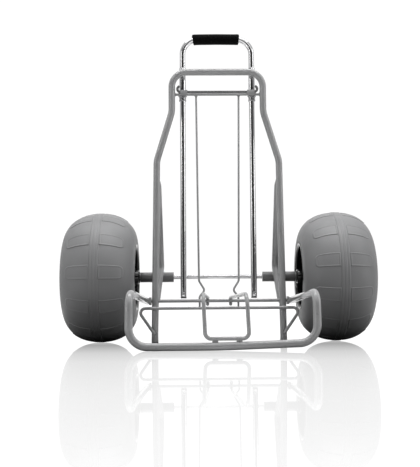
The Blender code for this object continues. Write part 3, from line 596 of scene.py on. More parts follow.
def makeHinge():
    low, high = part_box("hinge_rod")
    rodR = (high.z - low.z) / 2
    reach = (high.x - low.x) / 2
    nutLow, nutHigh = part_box("hinge_nut_right")
    threadStart = nutLow.x - 0.001
    pitch = 0.001
    threads = []
    for sign in (-1, 1):
        turns = round((reach - threadStart - 0.0006) / (pitch / 2))
        ridge = [(threadStart + i * pitch / 2, rodR - (0.0005 if i % 2 else 0.0)) for i in range(turns)]
        ridge += [(reach - 0.0005, rodR - 0.0003), (reach, rodR - 0.0010)]
        threads.append([(sign * a, r) for a, r in ridge])
    plain = [(i * 0.02, rodR) for i in range(-7, 8)]
    profile = [(-reach, poleR), *reversed(threads[0]), *plain, *threads[1], (reach, poleR)]
    rod = lathe("hingeRod", profile, (0, hinge.y, hinge.z), (1, 0, 0), 28, closed=False)
    dress(rod, finishes["paint"], "frame", "zinc_steel", "hinge_rod", edge=50)
    for Side, side, sign in bothSides:
        nut = hexNut(f"hingeNut{Side}", sign, nutLow.x, nutHigh.x, spanOf("hinge_nut_right").y, rodR + 0.0002)
        dress(nut, finishes["zinc"], "frame", "zinc_steel", f"hinge_nut_{side}", edge=25)


def hexNut(name, sign, start, end, flats, bore):
    segments = 72
    points = []
    corner = flats / sqrt(3)
    dome = 0.0012
    levels = [(start, "bore"), (end, "bore"), (end, "face"), (end - dome, "side"), (start + 0.0004, "side"),
              (start, "face")]
    for k in range(segments):
        a = 2 * pi * k / segments
        wedge = (a + pi / 6) % (pi / 3) - pi / 6
        hexR = flats / 2 / cos(wedge)
        for along, kind in levels:
            r = {"bore": bore, "face": min(hexR, flats / 2 * 0.97), "side": hexR}[kind]
            lift = 0.0
            if kind == "side" and along > start + dome:
                lift = -(hexR - flats / 2) / (corner - flats / 2) * dome * 0.6
            points.append(Vector((sign * (along + lift), hinge.y + r * cos(a), hinge.z + r * sin(a))))
    return addMesh(name, points, gridFaces(segments, len(levels), ringed=True))


# ledge wire in front of the uprights

ledgeShape = {"endZ": 0.021, "cornerHalf": 0.192, "cornerR": 0.0105}


def makeLedgeWire():
    s = ledgeShape
    endZ = s["endZ"]
    low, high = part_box("ledge_wire")
    r = (high.y - low.y) / 2
    y = (high.y + low.y) / 2
    z = high.z - r
    half = [(-uprightAt(endZ), y, endZ), (-s["cornerHalf"], y, z)]
    wire = sweep("ledgeWire", bentPath(bothHalves(half), [s["cornerR"]] * 2, 8), r, 20, r * 0.5)
    dress(wire, finishes["paint"], "frame", "frame_paint", "ledge_wire")
    for sign in (-1, 1):
        endX = sign * uprightAt(endZ)
        beadY = y + r * 0.7
        weldRun("frame", (endX - 0.004, beadY, endZ + 0.001), (endX - 0.002, beadY, endZ + 0.010), 0.0018)
        weldRun("frame", (endX + 0.004, beadY, endZ - 0.001), (endX + 0.005, beadY, endZ + 0.006), 0.0018)
        crossX = sign * uprightAt(z)
        beadY = y + r * 0.75
        for lift in (-r * 0.9, r * 0.9):
            weldRun("frame", (crossX - 0.004, beadY, z + lift), (crossX + 0.004, beadY, z + lift), 0.0015)


# rear braces: tubes pressed flat where they meet the uprights

braceShape = {
    "topHalf": 0.1435,
    "kinkHalf": 0.1385,
    "lowHalf": 0.1480,
    "topZ": 0.390,
    "lowZ": 0.088,
    "kinkBack": 0.066,
    "kinkZ": 0.180,
    "tail": 0.012,
    "radius": 0.008,
    "pressed": 0.42,
    "pressLength": 0.034,
}


def makeBraces():
    s = braceShape
    r = s["radius"]

    def touchY(half, z):
        return uprightY + sqrt((tubeR + r + 0.0003) ** 2 - (uprightAt(z) - half) ** 2)

    topY, lowY = touchY(s["topHalf"], s["topZ"]), touchY(s["lowHalf"], s["lowZ"])
    for Side, side, sign in bothSides:
        corners = [(sign * s["topHalf"], topY, s["topZ"] + s["tail"]), (sign * s["topHalf"], topY, s["topZ"]),
                   (sign * s["kinkHalf"], uprightY + s["kinkBack"], s["kinkZ"]),
                   (sign * s["lowHalf"], lowY, s["lowZ"]), (sign * s["lowHalf"], lowY, s["lowZ"] - s["tail"])]
        rough = bentPath(corners, [2 * r, 3 * r, 2 * r], 5)
        path = [rough[0]]
        for a, b in zip(rough, rough[1:]):
            cuts = max(1, round((b - a).length / 0.004))
            path += [a.lerp(b, i / cuts) for i in range(1, cuts + 1)]
        radii, shifted = [], []
        for p in path:
            near = min(path[0].z - p.z, p.z - path[-1].z)
            t = smooth((near + 0.002) / s["pressLength"])
            squeeze = s["pressed"] + (1 - s["pressed"]) * t
            radii.append(r * squeeze)
            shifted.append(p + Vector((sign * r * (1 - squeeze) * 0.45, -r * (1 - squeeze) * 0.80, 0)))
        brace = sweep(f"rearBrace{Side}", shifted, radii, 32, 0.0012)
        dress(brace, finishes["paint"], "frame", "frame_paint", f"rear_brace_{side}")
        for z, y, half in ((s["topZ"] + 0.002, topY, s["topHalf"]), (s["lowZ"] - 0.003, lowY, s["lowHalf"])):
            for edgeX in (-1, 1):
                seam = sign * (half + 0.002) + edgeX * r * 0.62
                weldRun("frame", (seam, y - r * 0.80, z - 0.009), (seam, y - r * 0.80, z + 0.009), 0.0018)


# axle: sleeves, rod, washers and caps

def makeAxle():
    rodR = spanOf("axle_rod").y / 2
    reach = spanOf("axle_rod").x / 2
    rod = turnedSolid("axleRod", [(-reach, rodR), (reach, rodR)], axle, (1, 0, 0), 40, 0.0008)
    dress(rod, finishes["chrome"], "frame", "zinc_steel", "axle_rod")
    bore = rodR + fit
    for Side, side, sign in bothSides:
        low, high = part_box(f"axle_sleeve_{side}")
        start, end = sorted((abs(low.x), abs(high.x)))
        outer = (high.z - low.z) / 2
        sleeve = turnedRing(f"axleSleeve{Side}", start, end, bore, outer, axle, (sign, 0, 0), 56, 0.0009)
        # axle sleeves in the darker copy of the frame paint: painted shade
        dress(sleeve, finishes["paintWithPaintedShade"], "frame", "frame_paint", f"axle_sleeve_{side}")
        braceX = braceShape["kinkHalf"]
        for along in (-0.006, 0.006):
            spot = (sign * (braceX + along), axle.y - outer * 0.93, axle.z + outer * 0.55)
            spot = Vector(spot)
            weldRun("frame", spot - Vector((0, 0, 0.004)), spot + Vector((0, 0.002, 0.003)), 0.002)
        for where in ("inner", "outer"):
            node = f"axle_washer_{where}_{side}"
            low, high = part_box(node)
            start, end = sorted((abs(low.x), abs(high.x)))
            washer = turnedRing(f"axleWasher{where.title()}{Side}", start, end, bore, (high.z - low.z) / 2, axle,
                                (sign, 0, 0), 48, 0.0003)
            dress(washer, finishes["zinc"], "frame", "zinc_steel", node)
        low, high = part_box(f"axle_cap_{side}")
        start, end = sorted((abs(low.x), abs(high.x)))
        outer = (high.z - low.z) / 2
        turns = [radians(90 - 10 * i) for i in range(10)]
        dome = [(end - (end - start) * 0.22 * (1 - sin(a)), poleR + outer * 0.93 * cos(a)) for a in turns]
        profile = [(start + 0.0042, poleR), (start + 0.0042, bore), (start, bore), (start, outer - 0.0004),
                   (start + 0.0004, outer), (start + 0.0018, outer), (start + 0.0022, outer * 0.94),
                   *reversed(dome)]
        cap = lathe(f"axleCap{Side}", profile, axle, (sign, 0, 0), 48, closed=False)
        dress(cap, finishes["plastic"], "frame", "black_plastic", f"axle_cap_{side}")


# nose: outer loop, hinge eyes, bail and its two tabs

noseShape = {
    "rootHalf": 0.1665,
    "rootReach": 0.018,
    "reach": 0.285,
    "cornerHalf": 0.1865,
    "cornerZ": 0.115,
    "frontHalf": 0.1875,
    "cornerR": 0.026,
    "footR": 0.037,
    "rightLift": 0.0065,
    "eyeHalf": 0.0092,
    "eyeIn": 0.1581,
    "eyeOut": 0.1629,
    "neckRadii": [0.0052, 0.0058, 0.0062, 0.0064, 0.0067, 0.0070, 0.0072, 0.0072, 0.0072],
    "neckPressed": [0.62, 0.66, 0.72, 0.80, 0.88, 0.94, 1.0, 1.0, 1.0],
}


def makeNoseLoop():
    s = noseShape
    r = tubeR
    frontY = uprightY - s["reach"]
    half = [(-s["rootHalf"], uprightY - s["rootReach"], hinge.z), (-s["cornerHalf"], frontY, s["cornerZ"]),
            (-s["frontHalf"], frontY, r)]
    corners = bothHalves(half)
    corners[3] = (corners[3][0], corners[3][1], r + s["rightLift"])
    corners.insert(3, (0.0, corners[3][1], r))
    path = bentPath(corners, [s["cornerR"], s["footR"], 2.0, s["footR"], s["cornerR"]], 4)
    dress(sweep("noseLoop", path, r, 36), finishes["paint"], "nose", "frame_paint", "nose_loop")
    eyeHalf = s["eyeHalf"]
    rootY = uprightY - s["rootReach"]
    for Side, side, sign in bothSides:
        outline = arcPoints((0, hinge.y, hinge.z), eyeHalf, -90, 90, 20, (0, 1, 0), (0, 0, 1))
        heel = [(0.0040, eyeHalf), (0.0010, eyeHalf * 0.80), (0.0010, -eyeHalf * 0.80), (0.0040, -eyeHalf)]
        outline += [Vector((0, rootY + back, hinge.z + lift)) for back, lift in heel]
        plate = slabAlong(f"eyePlate{Side}", outline, sign * s["eyeIn"], sign * s["eyeOut"], 0.0006)
        root = Vector((sign * s["rootHalf"], rootY, hinge.z))
        along = (Vector((sign * s["cornerHalf"], frontY, s["cornerZ"])) - root).normalized()
        neck = [root - along * 0.0060 + along * 0.001 * i for i in range(9)]
        collar = sweep(f"eyeNeck{Side}", neck, s["neckRadii"], 28, 0.0006, s["neckPressed"], (1, 0, 0))
        eye = joinPieces(f"noseEye{Side}", [plate, collar])
        dress(eye, finishes["paint"], "nose", "zinc_steel", f"nose_eye_{side}")


def slabAlong(name, outline, startX, endX, edge):
    if startX > endX:
        startX, endX = endX, startX
    middle = sum(outline, Vector()) / len(outline)
    size = max((p - middle).length for p in outline)
    points = []
    levels = [(startX, edge), (startX + edge * 0.3, edge * 0.3), (startX + edge, 0), (endX - edge, 0),
              (endX - edge * 0.3, edge * 0.3), (endX, edge)]
    for x, shrink in levels:
        for p in outline:
            q = middle + (p - middle) * (1 - shrink / size)
            points.append(Vector((x, q.y, q.z)))
    return addMesh(name, points, gridFaces(len(levels), len(outline), capped=True))


bailShape = {
    "rootHalf": 0.027,
    "frontHalf": 0.0435,
    "cornerZ": 0.112,
    "barZ": 0.0236,
    "topLean": 0.004,
    "barLean": 0.008,
    "straight": 0.042,
    "rodR": 0.0040,
}


def makeBail():
    s = bailShape
    r = s["rodR"]
    hookR = spanOf("hinge_rod").z / 2 + fit + r
    frontY = uprightY - noseShape["reach"]
    sides = []
    for sign in (-1, 1):
        x = sign * s["rootHalf"]
        hook = arcPoints((x, hinge.y, hinge.z), hookR, -110, 82, 26, (0, 1, 0), (0, 0, 1))
        top = hinge.z + hookR
        leg = [(x, hinge.y, top), (x, hinge.y - s["straight"], top),
               (sign * s["frontHalf"] + s["topLean"], frontY, s["cornerZ"]),
               (sign * s["frontHalf"] + s["barLean"], frontY, s["barZ"])]
        sides.append((hook, leg))
    corners = sides[0][1] + sides[1][1][::-1]
    path = sides[0][0] + bentPath(corners, [6 * r, 6 * r, 3 * r, 3 * r, 6 * r, 6 * r], 7) + sides[1][0][::-1]
    dress(sweep("noseBail", path, r, 22, r * 0.4), finishes["paint"], "nose", "frame_paint", "nose_bail")
    for Side, side, sign in bothSides:
        low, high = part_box(f"bail_tab_{side}")
        tab = box(f"bailTab{Side}", low - Vector((0, 0, 0.0002)), high + Vector((0, 0, 0.0002)), 0.0006)
        dress(tab, finishes["paint"], "nose", "frame_paint", f"bail_tab_{side}")
        for y in (low.y - 0.0003, high.y + 0.0003):
            weldRun("nose", (low.x + 0.001, y, low.z), (high.x - 0.001, y, low.z), 0.0013)
            weldRun("nose", (low.x + 0.001, y, high.z), (high.x - 0.001, y, high.z), 0.0012)


# handle: chrome loop, foam grip, end plugs and sprung buttons

handleShape = {
    "cornerR": 0.036,
    "crown": 0.0015,
    "gripHalf": 0.056,
    "gripR": 0.0127,
    "gripOffset": -0.0025,
    "gripSpots": [-1.0, -0.985, -0.95, -0.9, -0.8, -0.65, -0.5, -0.25, 0,
                  0.25, 0.5, 0.65, 0.8, 0.9, 0.95, 0.985, 1.0],
    "gripEnds": {1.0: 0.0108, 0.985: 0.0124, 0.95: 0.0129, 0.9: 0.0129},
    "buttonHoleR": 0.0033,
}


def makeHandle():
    s = handleShape
    low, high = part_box("handle_loop")
    r = (high.y - low.y) / 2
    legX = (high.x - low.x) / 2 - r
    gripZ = high.z - r - s["crown"]
    corners = [(-legX, guide.y, low.z), (-legX, guide.y, gripZ), (0, guide.y, gripZ + s["crown"]),
               (legX, guide.y, gripZ), (legX, guide.y, low.z)]
    path = bentPath(corners, [s["cornerR"], 1.0, s["cornerR"]], 4)
    loop = sweep("handleLoop", path, r, 40)
    buttonZ = middleOf("snap_button_left").z
    for sign in (-1, 1):
        steps = [(r - 0.0012, s["buttonHoleR"]), (r + 0.01, s["buttonHoleR"])]
        hole = turnedSolid("buttonHole", steps, (sign * legX, guide.y, buttonZ), (0, -1, 0), 32, 0)
        cutBy(loop, hole)
    dress(loop, finishes["chrome"], "handle", "chrome_tube", "handle_loop")

    def topAt(x):
        straight = legX - s["cornerR"]
        bend = max(abs(x) - straight, 0)
        drop = min(abs(x), straight) * s["crown"] / legX + s["cornerR"] - sqrt(s["cornerR"] ** 2 - bend ** 2)
        return gripZ + s["crown"] - 0.6 * drop

    across = [s["gripOffset"] + s["gripHalf"] * p for p in s["gripSpots"]]
    path = [Vector((x, guide.y, topAt(x))) for x in across]
    radii = [s["gripEnds"].get(abs(p), s["gripR"]) for p in s["gripSpots"]]
    grip = sweep("handleGrip", path, radii, 56, 0.0012)
    dress(grip, finishes["foam"], "handle", "grip_foam", "handle_grip", edge=60)
    for Side, side, sign in bothSides:
        low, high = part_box(f"leg_plug_{side}")
        steps = [(0.0, r - 0.0002), (0.003, r - 0.0001), (0.003, r - 0.0015), (high.z - low.z, r - 0.0015)]
        plug = turnedSolid(f"legPlug{Side}", steps, (sign * legX, guide.y, low.z), (0, 0, 1), 40, 0.0009)
        dress(plug, finishes["plastic"], "handle", "black_plastic", f"leg_plug_{side}")
        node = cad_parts[f"button_spring_{side}"]
        node.data.materials.clear()
        node.data.materials.append(finishes["zinc"])
        low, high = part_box(f"snap_button_{side}")
        tip = guide.y - low.y
        head = guide.y - high.y
        steps = [(head, 0.0042), (head + 0.0012, 0.0042), (head + 0.0012, 0.003), (tip - 0.0012, 0.003),
                 (tip - 0.0004, 0.0024), (tip, 0.0012)]
        button = turnedSolid(f"snapButton{Side}", steps, (sign * legX, guide.y, buttonZ), (0, -1, 0), 40, 0.0005)
        dress(button, finishes["zinc"], f"{side}_button", "zinc_steel", f"snap_button_{side}")


# wheels

tyreShape = {
    "roundness": 2.15,
    "widestR": 0.0874,
    "relief": 0.00115,
    "bandHalf": 0.0094,
    "bandEdge": 0.0009,
    "grooveAt": 0.0040,
    "grooveDepth": 0.0005,
    "padIn": 0.0108,
    "padOut": 0.0662,
    "padHalf": 0.0165,
    "padCornerR": 0.0095,
    "padRelief": 0.00115,
    "padDish": 0.00055,
    "padCount": 12,
    "phase": {"left": 3.0, "right": 12.5},
    "footHalf": 0.0840,
    "footR": 0.0782,
    "lipR": 0.0818,
    "outwards": 0.0015,
    "wall": 0.004,
    "beadIn": 0.0670,
    "beadBack": 0.0666,
    "beadTopR": 0.0790,
    "across": [0, 1.5, 2.4, 3.2, 3.8, 4.4, 5.0, 5.8, 6.8, 7.6, 8.4, 9, 9.5, 10, 10.4, 10.9, 11.4, 11.9, 12.4, 13,
               13.8, 15.2, 18, 22, 26, 30, 34, 38, 42, 46, 50, 53, 55, 56.5, 58, 59.2, 60.3, 61.3, 62.2, 63, 63.7,
               64.3, 64.9, 65.5, 66.1, 66.7, 67.3, 68, 69, 71, 73.5, 76, 78.5, 80.5, 82.2, 83.6, 84.7, 85.5, 86.1,
               86.5],
}


def tyreRelief(u, arc):
    s = tyreShape
    across = abs(u)
    rise = s["relief"] * smooth((s["bandHalf"] + s["bandEdge"] - across) / s["bandEdge"])
    rise -= s["grooveDepth"] * max(0.0, 1 - abs(across - s["grooveAt"]) / 0.0009)
    middle = (s["padIn"] + s["padOut"]) / 2
    reach = (s["padOut"] - s["padIn"]) / 2
    corner = s["padCornerR"] if across > middle else 0.0015
    dx = abs(across - middle) - reach + corner
    dy = abs(arc) - s["padHalf"] + corner
    gap = sqrt(max(dx, 0) ** 2 + max(dy, 0) ** 2) + min(max(dx, dy), 0) - corner
    rise += s["padRelief"] * smooth(-gap / 0.0010)
    rise -= s["padDish"] * smooth((-gap - 0.0022) / 0.0014)
    return rise


def makeTyre(Side, side, sign, centre):
    s = tyreShape
    low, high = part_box(f"tyre_{side}")
    outerR = (high.z - low.z) / 2
    halfWidth = (high.x - low.x) / 2 - 0.0002
    crown = outerR - s["relief"] - 0.00005
    rise = crown - s["widestR"]
    section = []
    for u in [millimetres / 1000 for millimetres in s["across"]]:
        along = min(1.0, u / halfWidth)
        phi = along ** (s["roundness"] / 2)
        r = s["widestR"] + rise * sqrt(1 - phi * phi) ** (2 / s["roundness"])
        section.append((u, r, True))
    edges = [
        (halfWidth, s["widestR"]), (halfWidth - 0.0003, s["widestR"] - 0.0022),
        (halfWidth - 0.0010, s["widestR"] - 0.0040), (halfWidth - 0.0018, s["lipR"] + 0.0006),
        (s["footHalf"] + 0.0004, s["lipR"] + 0.0001), (s["footHalf"], s["lipR"]),
        (s["footHalf"], s["footR"] + 0.0006), (s["footHalf"] - 0.0006, s["footR"]),
        (s["beadIn"], s["footR"]), (s["beadBack"], s["beadTopR"]),
    ]
    power = 2 / s["roundness"]
    for a in [radians(80 - 10 * i) for i in range(9)]:
        across = (halfWidth - s["wall"]) * sin(a) ** power
        edges.append((across, s["widestR"] + (rise - s["wall"]) * cos(a) ** power))
    right = section + [(u, r, False) for u, r in edges]
    loop = [(-u, r, k) for u, r, k in reversed(right[1:])] + right
    normals = []
    for i, (u, r, k) in enumerate(loop):
        a, b = loop[i - 1], loop[(i + 1) % len(loop)]
        tangent = Vector((b[0] - a[0], b[1] - a[1]))
        normals.append(Vector((-tangent.y, tangent.x)).normalized() if tangent.length else Vector((0, 1)))
    pitch = 360 / s["padCount"]
    edge = s["padHalf"] / outerR * 180 / pi
    steps = [0, 2.0, 3.4, 4.2, 4.8, 5.25, edge - 0.45, edge - 0.34, edge - 0.22, edge - 0.1, edge + 0.02, edge + 0.3,
             7.2, 9.5, 12.2]
    offsets = [-a for a in reversed(steps[1:])] + steps + [15.0]
    points = []
    for pad in range(s["padCount"]):
        for offset in offsets:
            angle = radians(s["phase"][side] + pad * pitch + offset)
            arc = radians(offset) * outerR
            for (u, r, relief), normal in zip(loop, normals):
                lift = tyreRelief(u - sign * s["outwards"], arc) if relief else 0.0
                uu, rr = u + normal.x * lift, r + normal.y * lift
                points.append((centre.x + uu, centre.y - rr * cos(angle), centre.z + rr * sin(angle)))
    tyre = addMesh(f"tyre{Side}", points, gridFaces(s["padCount"] * len(offsets), len(loop), ringed=True))
    dress(tyre, finishes["tyre"], f"{side}_wheel", "grey_tyre", f"tyre_{side}", edge=55)


rimShape = {
    "barrelR": 0.0779,
    "wall": 0.003,
    "flangeR": 0.0812,
    "flange": 0.0024,
    "footHalf": 0.0842,
    "webIn": 0.012,
    "webOut": 0.016,
    "hubR": 0.018,
    "bore": 0.0113,
    "ribCount": 6,
    "ribThick": 0.003,
    "ribEnd": 0.0715,
    "outerHubEnd": 0.068,
    "faceStart": 0.00015,
    "bushLength": 0.018,
    "bushBore": 0.0053,
    "bushR": 0.011,
    "bushFlange": 0.002,
    "bushFlangeR": 0.014,
}


def makeRims(Side, side, sign, centre):
    s = rimShape
    for Where, where, way in (("Inner", "inner", -1), ("Outer", "outer", 1)):
        node = f"rim_{where}_{side}"
        low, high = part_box(node)
        ends = sorted((abs(low.x - centre.x), abs(high.x - centre.x)))
        hubEnd = ends[1] if where == "inner" else s["outerHubEnd"]
        innerR = s["barrelR"] - s["wall"]
        outer = s["footHalf"] + s["flange"]
        face, web = s["faceStart"], s["webOut"]
        section = [
            (face, s["bore"]), (hubEnd, s["bore"]), (hubEnd, s["hubR"] - 0.001), (web + 0.004, s["hubR"] + 0.0005),
            (web, s["hubR"] + 0.005), (web - 0.001, 0.050), (web, innerR - 0.006), (web + 0.005, innerR - 0.001),
            (0.050, innerR), (outer - 0.004, innerR + 0.0002), (outer, innerR + 0.0022), (outer, s["flangeR"]),
            (s["footHalf"], s["flangeR"]), (s["footHalf"], s["barrelR"]), (face, s["barrelR"]), (face, innerR),
            (s["webIn"], innerR), (s["webIn"], s["hubR"]), (face, s["hubR"]),
        ]
        parts = [turnedSection("barrel", section, centre, (sign * way, 0, 0), 120, 0.0012, 4)]
        axis = Vector((sign * way, 0, 0))
        ribEnd = min(s["ribEnd"], hubEnd - 0.006)
        for rib in range(s["ribCount"]):
            turn = 2 * pi * (rib + 0.5) / s["ribCount"]
            rootR, tipR = s["hubR"] - 0.0015, innerR + 0.0012
            parts.append(makeRib(centre, axis, turn, rootR, tipR, web - 0.002, ribEnd, s["ribThick"]))
        rim = joinPieces(f"rim{Where}{Side}", parts)
        dress(rim, finishes["rim"], f"{side}_wheel", "rim_plastic", node, edge=32)
        bushNode = f"hub_bush_{where}_{side}"
        low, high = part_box(bushNode)
        end = max(abs(low.x - centre.x), abs(high.x - centre.x))
        start, flange = end - s["bushLength"], end - s["bushFlange"]
        section = [(start, s["bushBore"]), (end, s["bushBore"]), (end, s["bushFlangeR"]),
                   (flange, s["bushFlangeR"]), (flange, s["bushR"]), (start, s["bushR"])]
        bush = turnedSection(f"hubBush{Where}{Side}", section, centre, axis, 56, 0.0005)
        dress(bush, finishes["plastic"], f"{side}_wheel", "black_plastic", bushNode)


def makeRib(centre, axis, turn, rootR, tipR, start, end, thick):
    out = Vector((0, cos(turn), sin(turn)))
    across = axis.cross(out)
    points = []
    columns = 10
    for i in range(columns + 1):
        t = i / columns
        r = rootR + (tipR - rootR) * t
        dip = 0.016 * sin(pi * t) ** 1.5
        top = end - dip
        ring = [(start, -thick / 2), (top - 0.001, -thick / 2 * 0.9), (top - 0.0002, -thick * 0.28), (top, 0.0),
                (top - 0.0002, thick * 0.28), (top - 0.001, thick / 2 * 0.9), (start, thick / 2)]
        for along, sideways in ring:
            points.append(Vector(centre) + out * r + axis * along + across * sideways)
    return addMesh("rib", points, gridFaces(columns + 1, len(ring), capped=True))


def makeValve(Side, side, sign, centre):
    node = f"valve_stem_{side}"
    low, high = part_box(node)
    middle = (low + high) / 2
    foot = Vector((middle.x, centre.y, centre.z))
    near, far = low.y - centre.y, high.y - centre.y
    collarEnd = rimShape["barrelR"] - rimShape["wall"] - 0.0006
    stem = [(near, 0.0022), (near + 0.006, 0.0024), (near + 0.006, 0.0020), (near + 0.009, 0.0020),
            (near + 0.009, 0.0026), (collarEnd - 0.004, 0.0026), (collarEnd - 0.004, 0.005), (collarEnd, 0.005),
            (collarEnd, 0.0026), (far, 0.0026)]
    valve = turnedSolid(f"valveStem{Side}", stem, foot, (0, 1, 0), 32, 0.0004)
    dress(valve, finishes["zinc"], f"{side}_wheel", "zinc_steel", node)


def makeWheels():
    for Side, side, sign in bothSides:
        centre = middleOf(f"tyre_{side}")
        makeTyre(Side, side, sign, centre)
        makeRims(Side, side, sign, centre)
        makeValve(Side, side, sign, centre)


def makeWelds():
    for body, beads in welds.items():
        bead = joinPieces(f"{body}Welds", beads)
        dress(bead, finishes["paint"], body, "frame_paint", edge=70)


# studio

studio = {
    "cameraPlace": (-0.0508, -1.8383, 0.0980),
    "cameraYaw": -0.9407,
    "cameraPitch": 94.8477,
    "cameraRoll": -0.44,
    "lens": 61.30,
    "floorHalf": 30.0,
    "floorStops": [(0.0, 0.22), (0.10, 0.24), (0.22, 0.26), (0.34, 0.29), (0.48, 0.33), (0.62, 0.43), (0.78, 0.66),
                   (0.86, 0.55), (1.0, 0.03)],
    "worldStops": [(0.0, 0.02), (0.05, 0.05), (0.10, 0.22), (0.25, 0.36), (0.45, 0.60), (0.65, 0.80), (0.92, 0.86),
                   (0.97, 1.2), (1.0, 1.25)],
}


def fillRamp(ramp, stops):
    while len(ramp.color_ramp.elements) < len(stops):
        ramp.color_ramp.elements.new(0.5)
    for element, (where, strength) in zip(ramp.color_ramp.elements, stops):
        element.position = where
        element.color = (strength, strength, strength, 1)


def makeCamera():
    data = bpy.data.cameras.new("studioCamera")
    data.lens = studio["lens"]
    data.sensor_width = 36.0
    data.sensor_fit = "AUTO"
    data.clip_end = 200
    camera = bpy.data.objects.new("studioCamera", data)
    turn = Matrix.Rotation(radians(studio["cameraYaw"]), 4, "Z")
    turn = turn @ Matrix.Rotation(radians(studio["cameraPitch"]), 4, "X")
    turn = turn @ Matrix.Rotation(radians(studio["cameraRoll"]), 4, "Z")
    camera.matrix_world = Matrix.Translation(Vector(studio["cameraPlace"])) @ turn
    bpy.context.scene.collection.objects.link(camera)
    bpy.context.scene.camera = camera


def makeFloor():
    half = studio["floorHalf"]
    z = floorZ - 0.0002
    corners = [(-half, -half, z), (half, -half, z), (half, half, z), (-half, half, z)]
    floor = addMesh("studioFloor", corners, [(0, 1, 2, 3)])
    finish = bpy.data.materials.new("paleGlossFloor")
    finish.use_nodes = True
    tree = finish.node_tree
    tree.nodes.clear()
    out = addNode(tree, "OutputMaterial")
    path = addNode(tree, "LightPath")
    diffuse = addNode(tree, "BsdfDiffuse")
    # floor colour seen by bounce rays darkens towards each tyre's contact point: painted shade under the tyres
    spot = addNode(tree, "TexCoord")
    away = addNode(tree, "VectorMath", operation="ABSOLUTE")
    tree.links.new(spot.outputs["Object"], away.inputs[0])
    gap = addNode(tree, "VectorMath", operation="DISTANCE")
    gap.inputs[1].default_value = (abs(middleOf("tyre_left").x), axle.y, abs(floorZ))
    tree.links.new(away.outputs[0], gap.inputs[0])
    tree.links.new(ranged(tree, gap.outputs["Value"], 0.02, 0.60, 0.07, 0.34), diffuse.inputs["Color"])
    pale = addNode(tree, "Emission")
    pale.inputs["Color"].default_value = (1, 1, 1, 1)
    pale.inputs["Strength"].default_value = 1.15
    gloss = addNode(tree, "BsdfGlossy")
    gloss.inputs["Color"].default_value = (1, 1, 1, 1)
    gloss.inputs["Roughness"].default_value = 0.02
    place = addNode(tree, "TexCoord")
    split = addNode(tree, "SeparateXYZ")
    tree.links.new(place.outputs["Object"], split.inputs["Vector"])
    ramp = addNode(tree, "ValToRGB")
    fillRamp(ramp, studio["floorStops"])
    reach = addNode(tree, "MapRange")
    reach.inputs["From Min"].default_value = -1.35
    reach.inputs["From Max"].default_value = 0.35
    tree.links.new(split.outputs["Y"], reach.inputs["Value"])
    tree.links.new(reach.outputs["Result"], ramp.inputs["Fac"])
    mirror = addNode(tree, "MixShader")
    tree.links.new(ramp.outputs["Color"], mirror.inputs[0])
    tree.links.new(pale.outputs[0], mirror.inputs[1])
    tree.links.new(gloss.outputs[0], mirror.inputs[2])
    seen = addNode(tree, "MixShader")
    tree.links.new(path.outputs["Is Camera Ray"], seen.inputs[0])
    tree.links.new(diffuse.outputs[0], seen.inputs[1])
    tree.links.new(mirror.outputs[0], seen.inputs[2])
    tree.links.new(seen.outputs[0], out.inputs["Surface"])
    floor.data.materials.append(finish)


def makeLight(name, place, target, size, power, inReflections=True):
    data = bpy.data.lights.new(name, "AREA")
    data.shape = "RECTANGLE"
    data.size, data.size_y = size
    data.energy = power
    light = bpy.data.objects.new(name, data)
    place, target = Vector(place), Vector(target)
    aim = (target - place).to_track_quat("-Z", "Y").to_matrix().to_4x4()
    light.matrix_world = Matrix.Translation(place) @ aim
    light.visible_glossy = inReflections
    bpy.context.scene.collection.objects.link(light)


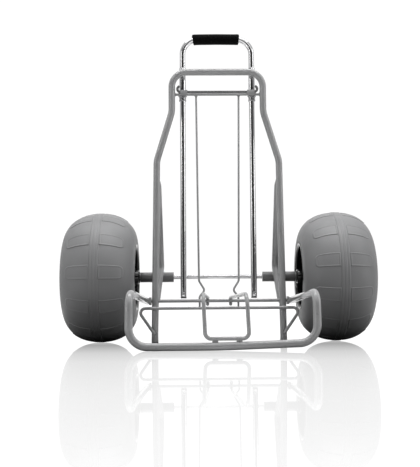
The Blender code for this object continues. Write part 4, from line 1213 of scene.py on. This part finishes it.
def makeWorld():
    world = bpy.data.worlds.new("studioWorld")
    bpy.context.scene.world = world
    world.use_nodes = True
    tree = world.node_tree
    tree.nodes.clear()
    out = addNode(tree, "OutputWorld")
    path = addNode(tree, "LightPath")
    place = addNode(tree, "TexCoord")
    split = addNode(tree, "SeparateXYZ")
    tree.links.new(place.outputs["Generated"], split.inputs["Vector"])
    spread = addNode(tree, "MapRange")
    spread.inputs["From Min"].default_value = -1.0
    spread.inputs["From Max"].default_value = 1.0
    tree.links.new(split.outputs["Y"], spread.inputs["Value"])
    back = addNode(tree, "ValToRGB")
    fillRamp(back, studio["worldStops"])
    tree.links.new(spread.outputs["Result"], back.inputs["Fac"])
    top = addNode(tree, "MapRange", interpolation_type="SMOOTHSTEP")
    top.inputs["From Min"].default_value = 0.45
    top.inputs["From Max"].default_value = 0.95
    top.inputs["To Min"].default_value = 0.0
    top.inputs["To Max"].default_value = 0.2
    tree.links.new(split.outputs["Z"], top.inputs["Value"])
    total = addNode(tree, "Math", operation="ADD")
    tree.links.new(back.outputs["Color"], total.inputs[0])
    tree.links.new(top.outputs["Result"], total.inputs[1])
    around = addNode(tree, "Background")
    tree.links.new(total.outputs[0], around.inputs["Strength"])
    seen = addNode(tree, "Background")
    seen.inputs["Strength"].default_value = 1.03
    seen.inputs["Color"].default_value = (1, 1, 1, 1)
    mixed = addNode(tree, "MixShader")
    tree.links.new(path.outputs["Is Camera Ray"], mixed.inputs[0])
    tree.links.new(around.outputs[0], mixed.inputs[1])
    tree.links.new(seen.outputs[0], mixed.inputs[2])
    tree.links.new(mixed.outputs[0], out.inputs["Surface"])


makeCamera()
print("camera set")
makeMainTube()
makeUpperRods()
makeGuides()
makeBackWires()
makeHinge()
makeLedgeWire()
makeBraces()
makeAxle()
print("frame pieces made")
makeNoseLoop()
makeBail()
print("nose made")
makeHandle()
print("handle made")
makeWheels()
print("wheels made")
makeWelds()
makeFloor()
makeLight("topSoftbox", (0.0, 0.1, 2.3), (0, 0, 0.3), (2.2, 1.2), 56, inReflections=False)
makeLight("topGlint", (0.0, -0.3, 2.3), (0, 0, 0.3), (2.2, 0.4), 15)
makeLight("leftStrip", (-1.5, -1.1, 0.6), (0, 0, 0.35), (0.16, 1.8), 5)
makeLight("rightStrip", (1.3, -0.5, 0.6), (0, 0, 0.35), (0.16, 1.8), 5)
makeLight("frontSoftbox", (0.4, -2.2, 2.0), (0, 0, 0.35), (2.4, 0.8), 6)
makeWorld()
bpy.context.scene.view_settings.view_transform = "Standard"
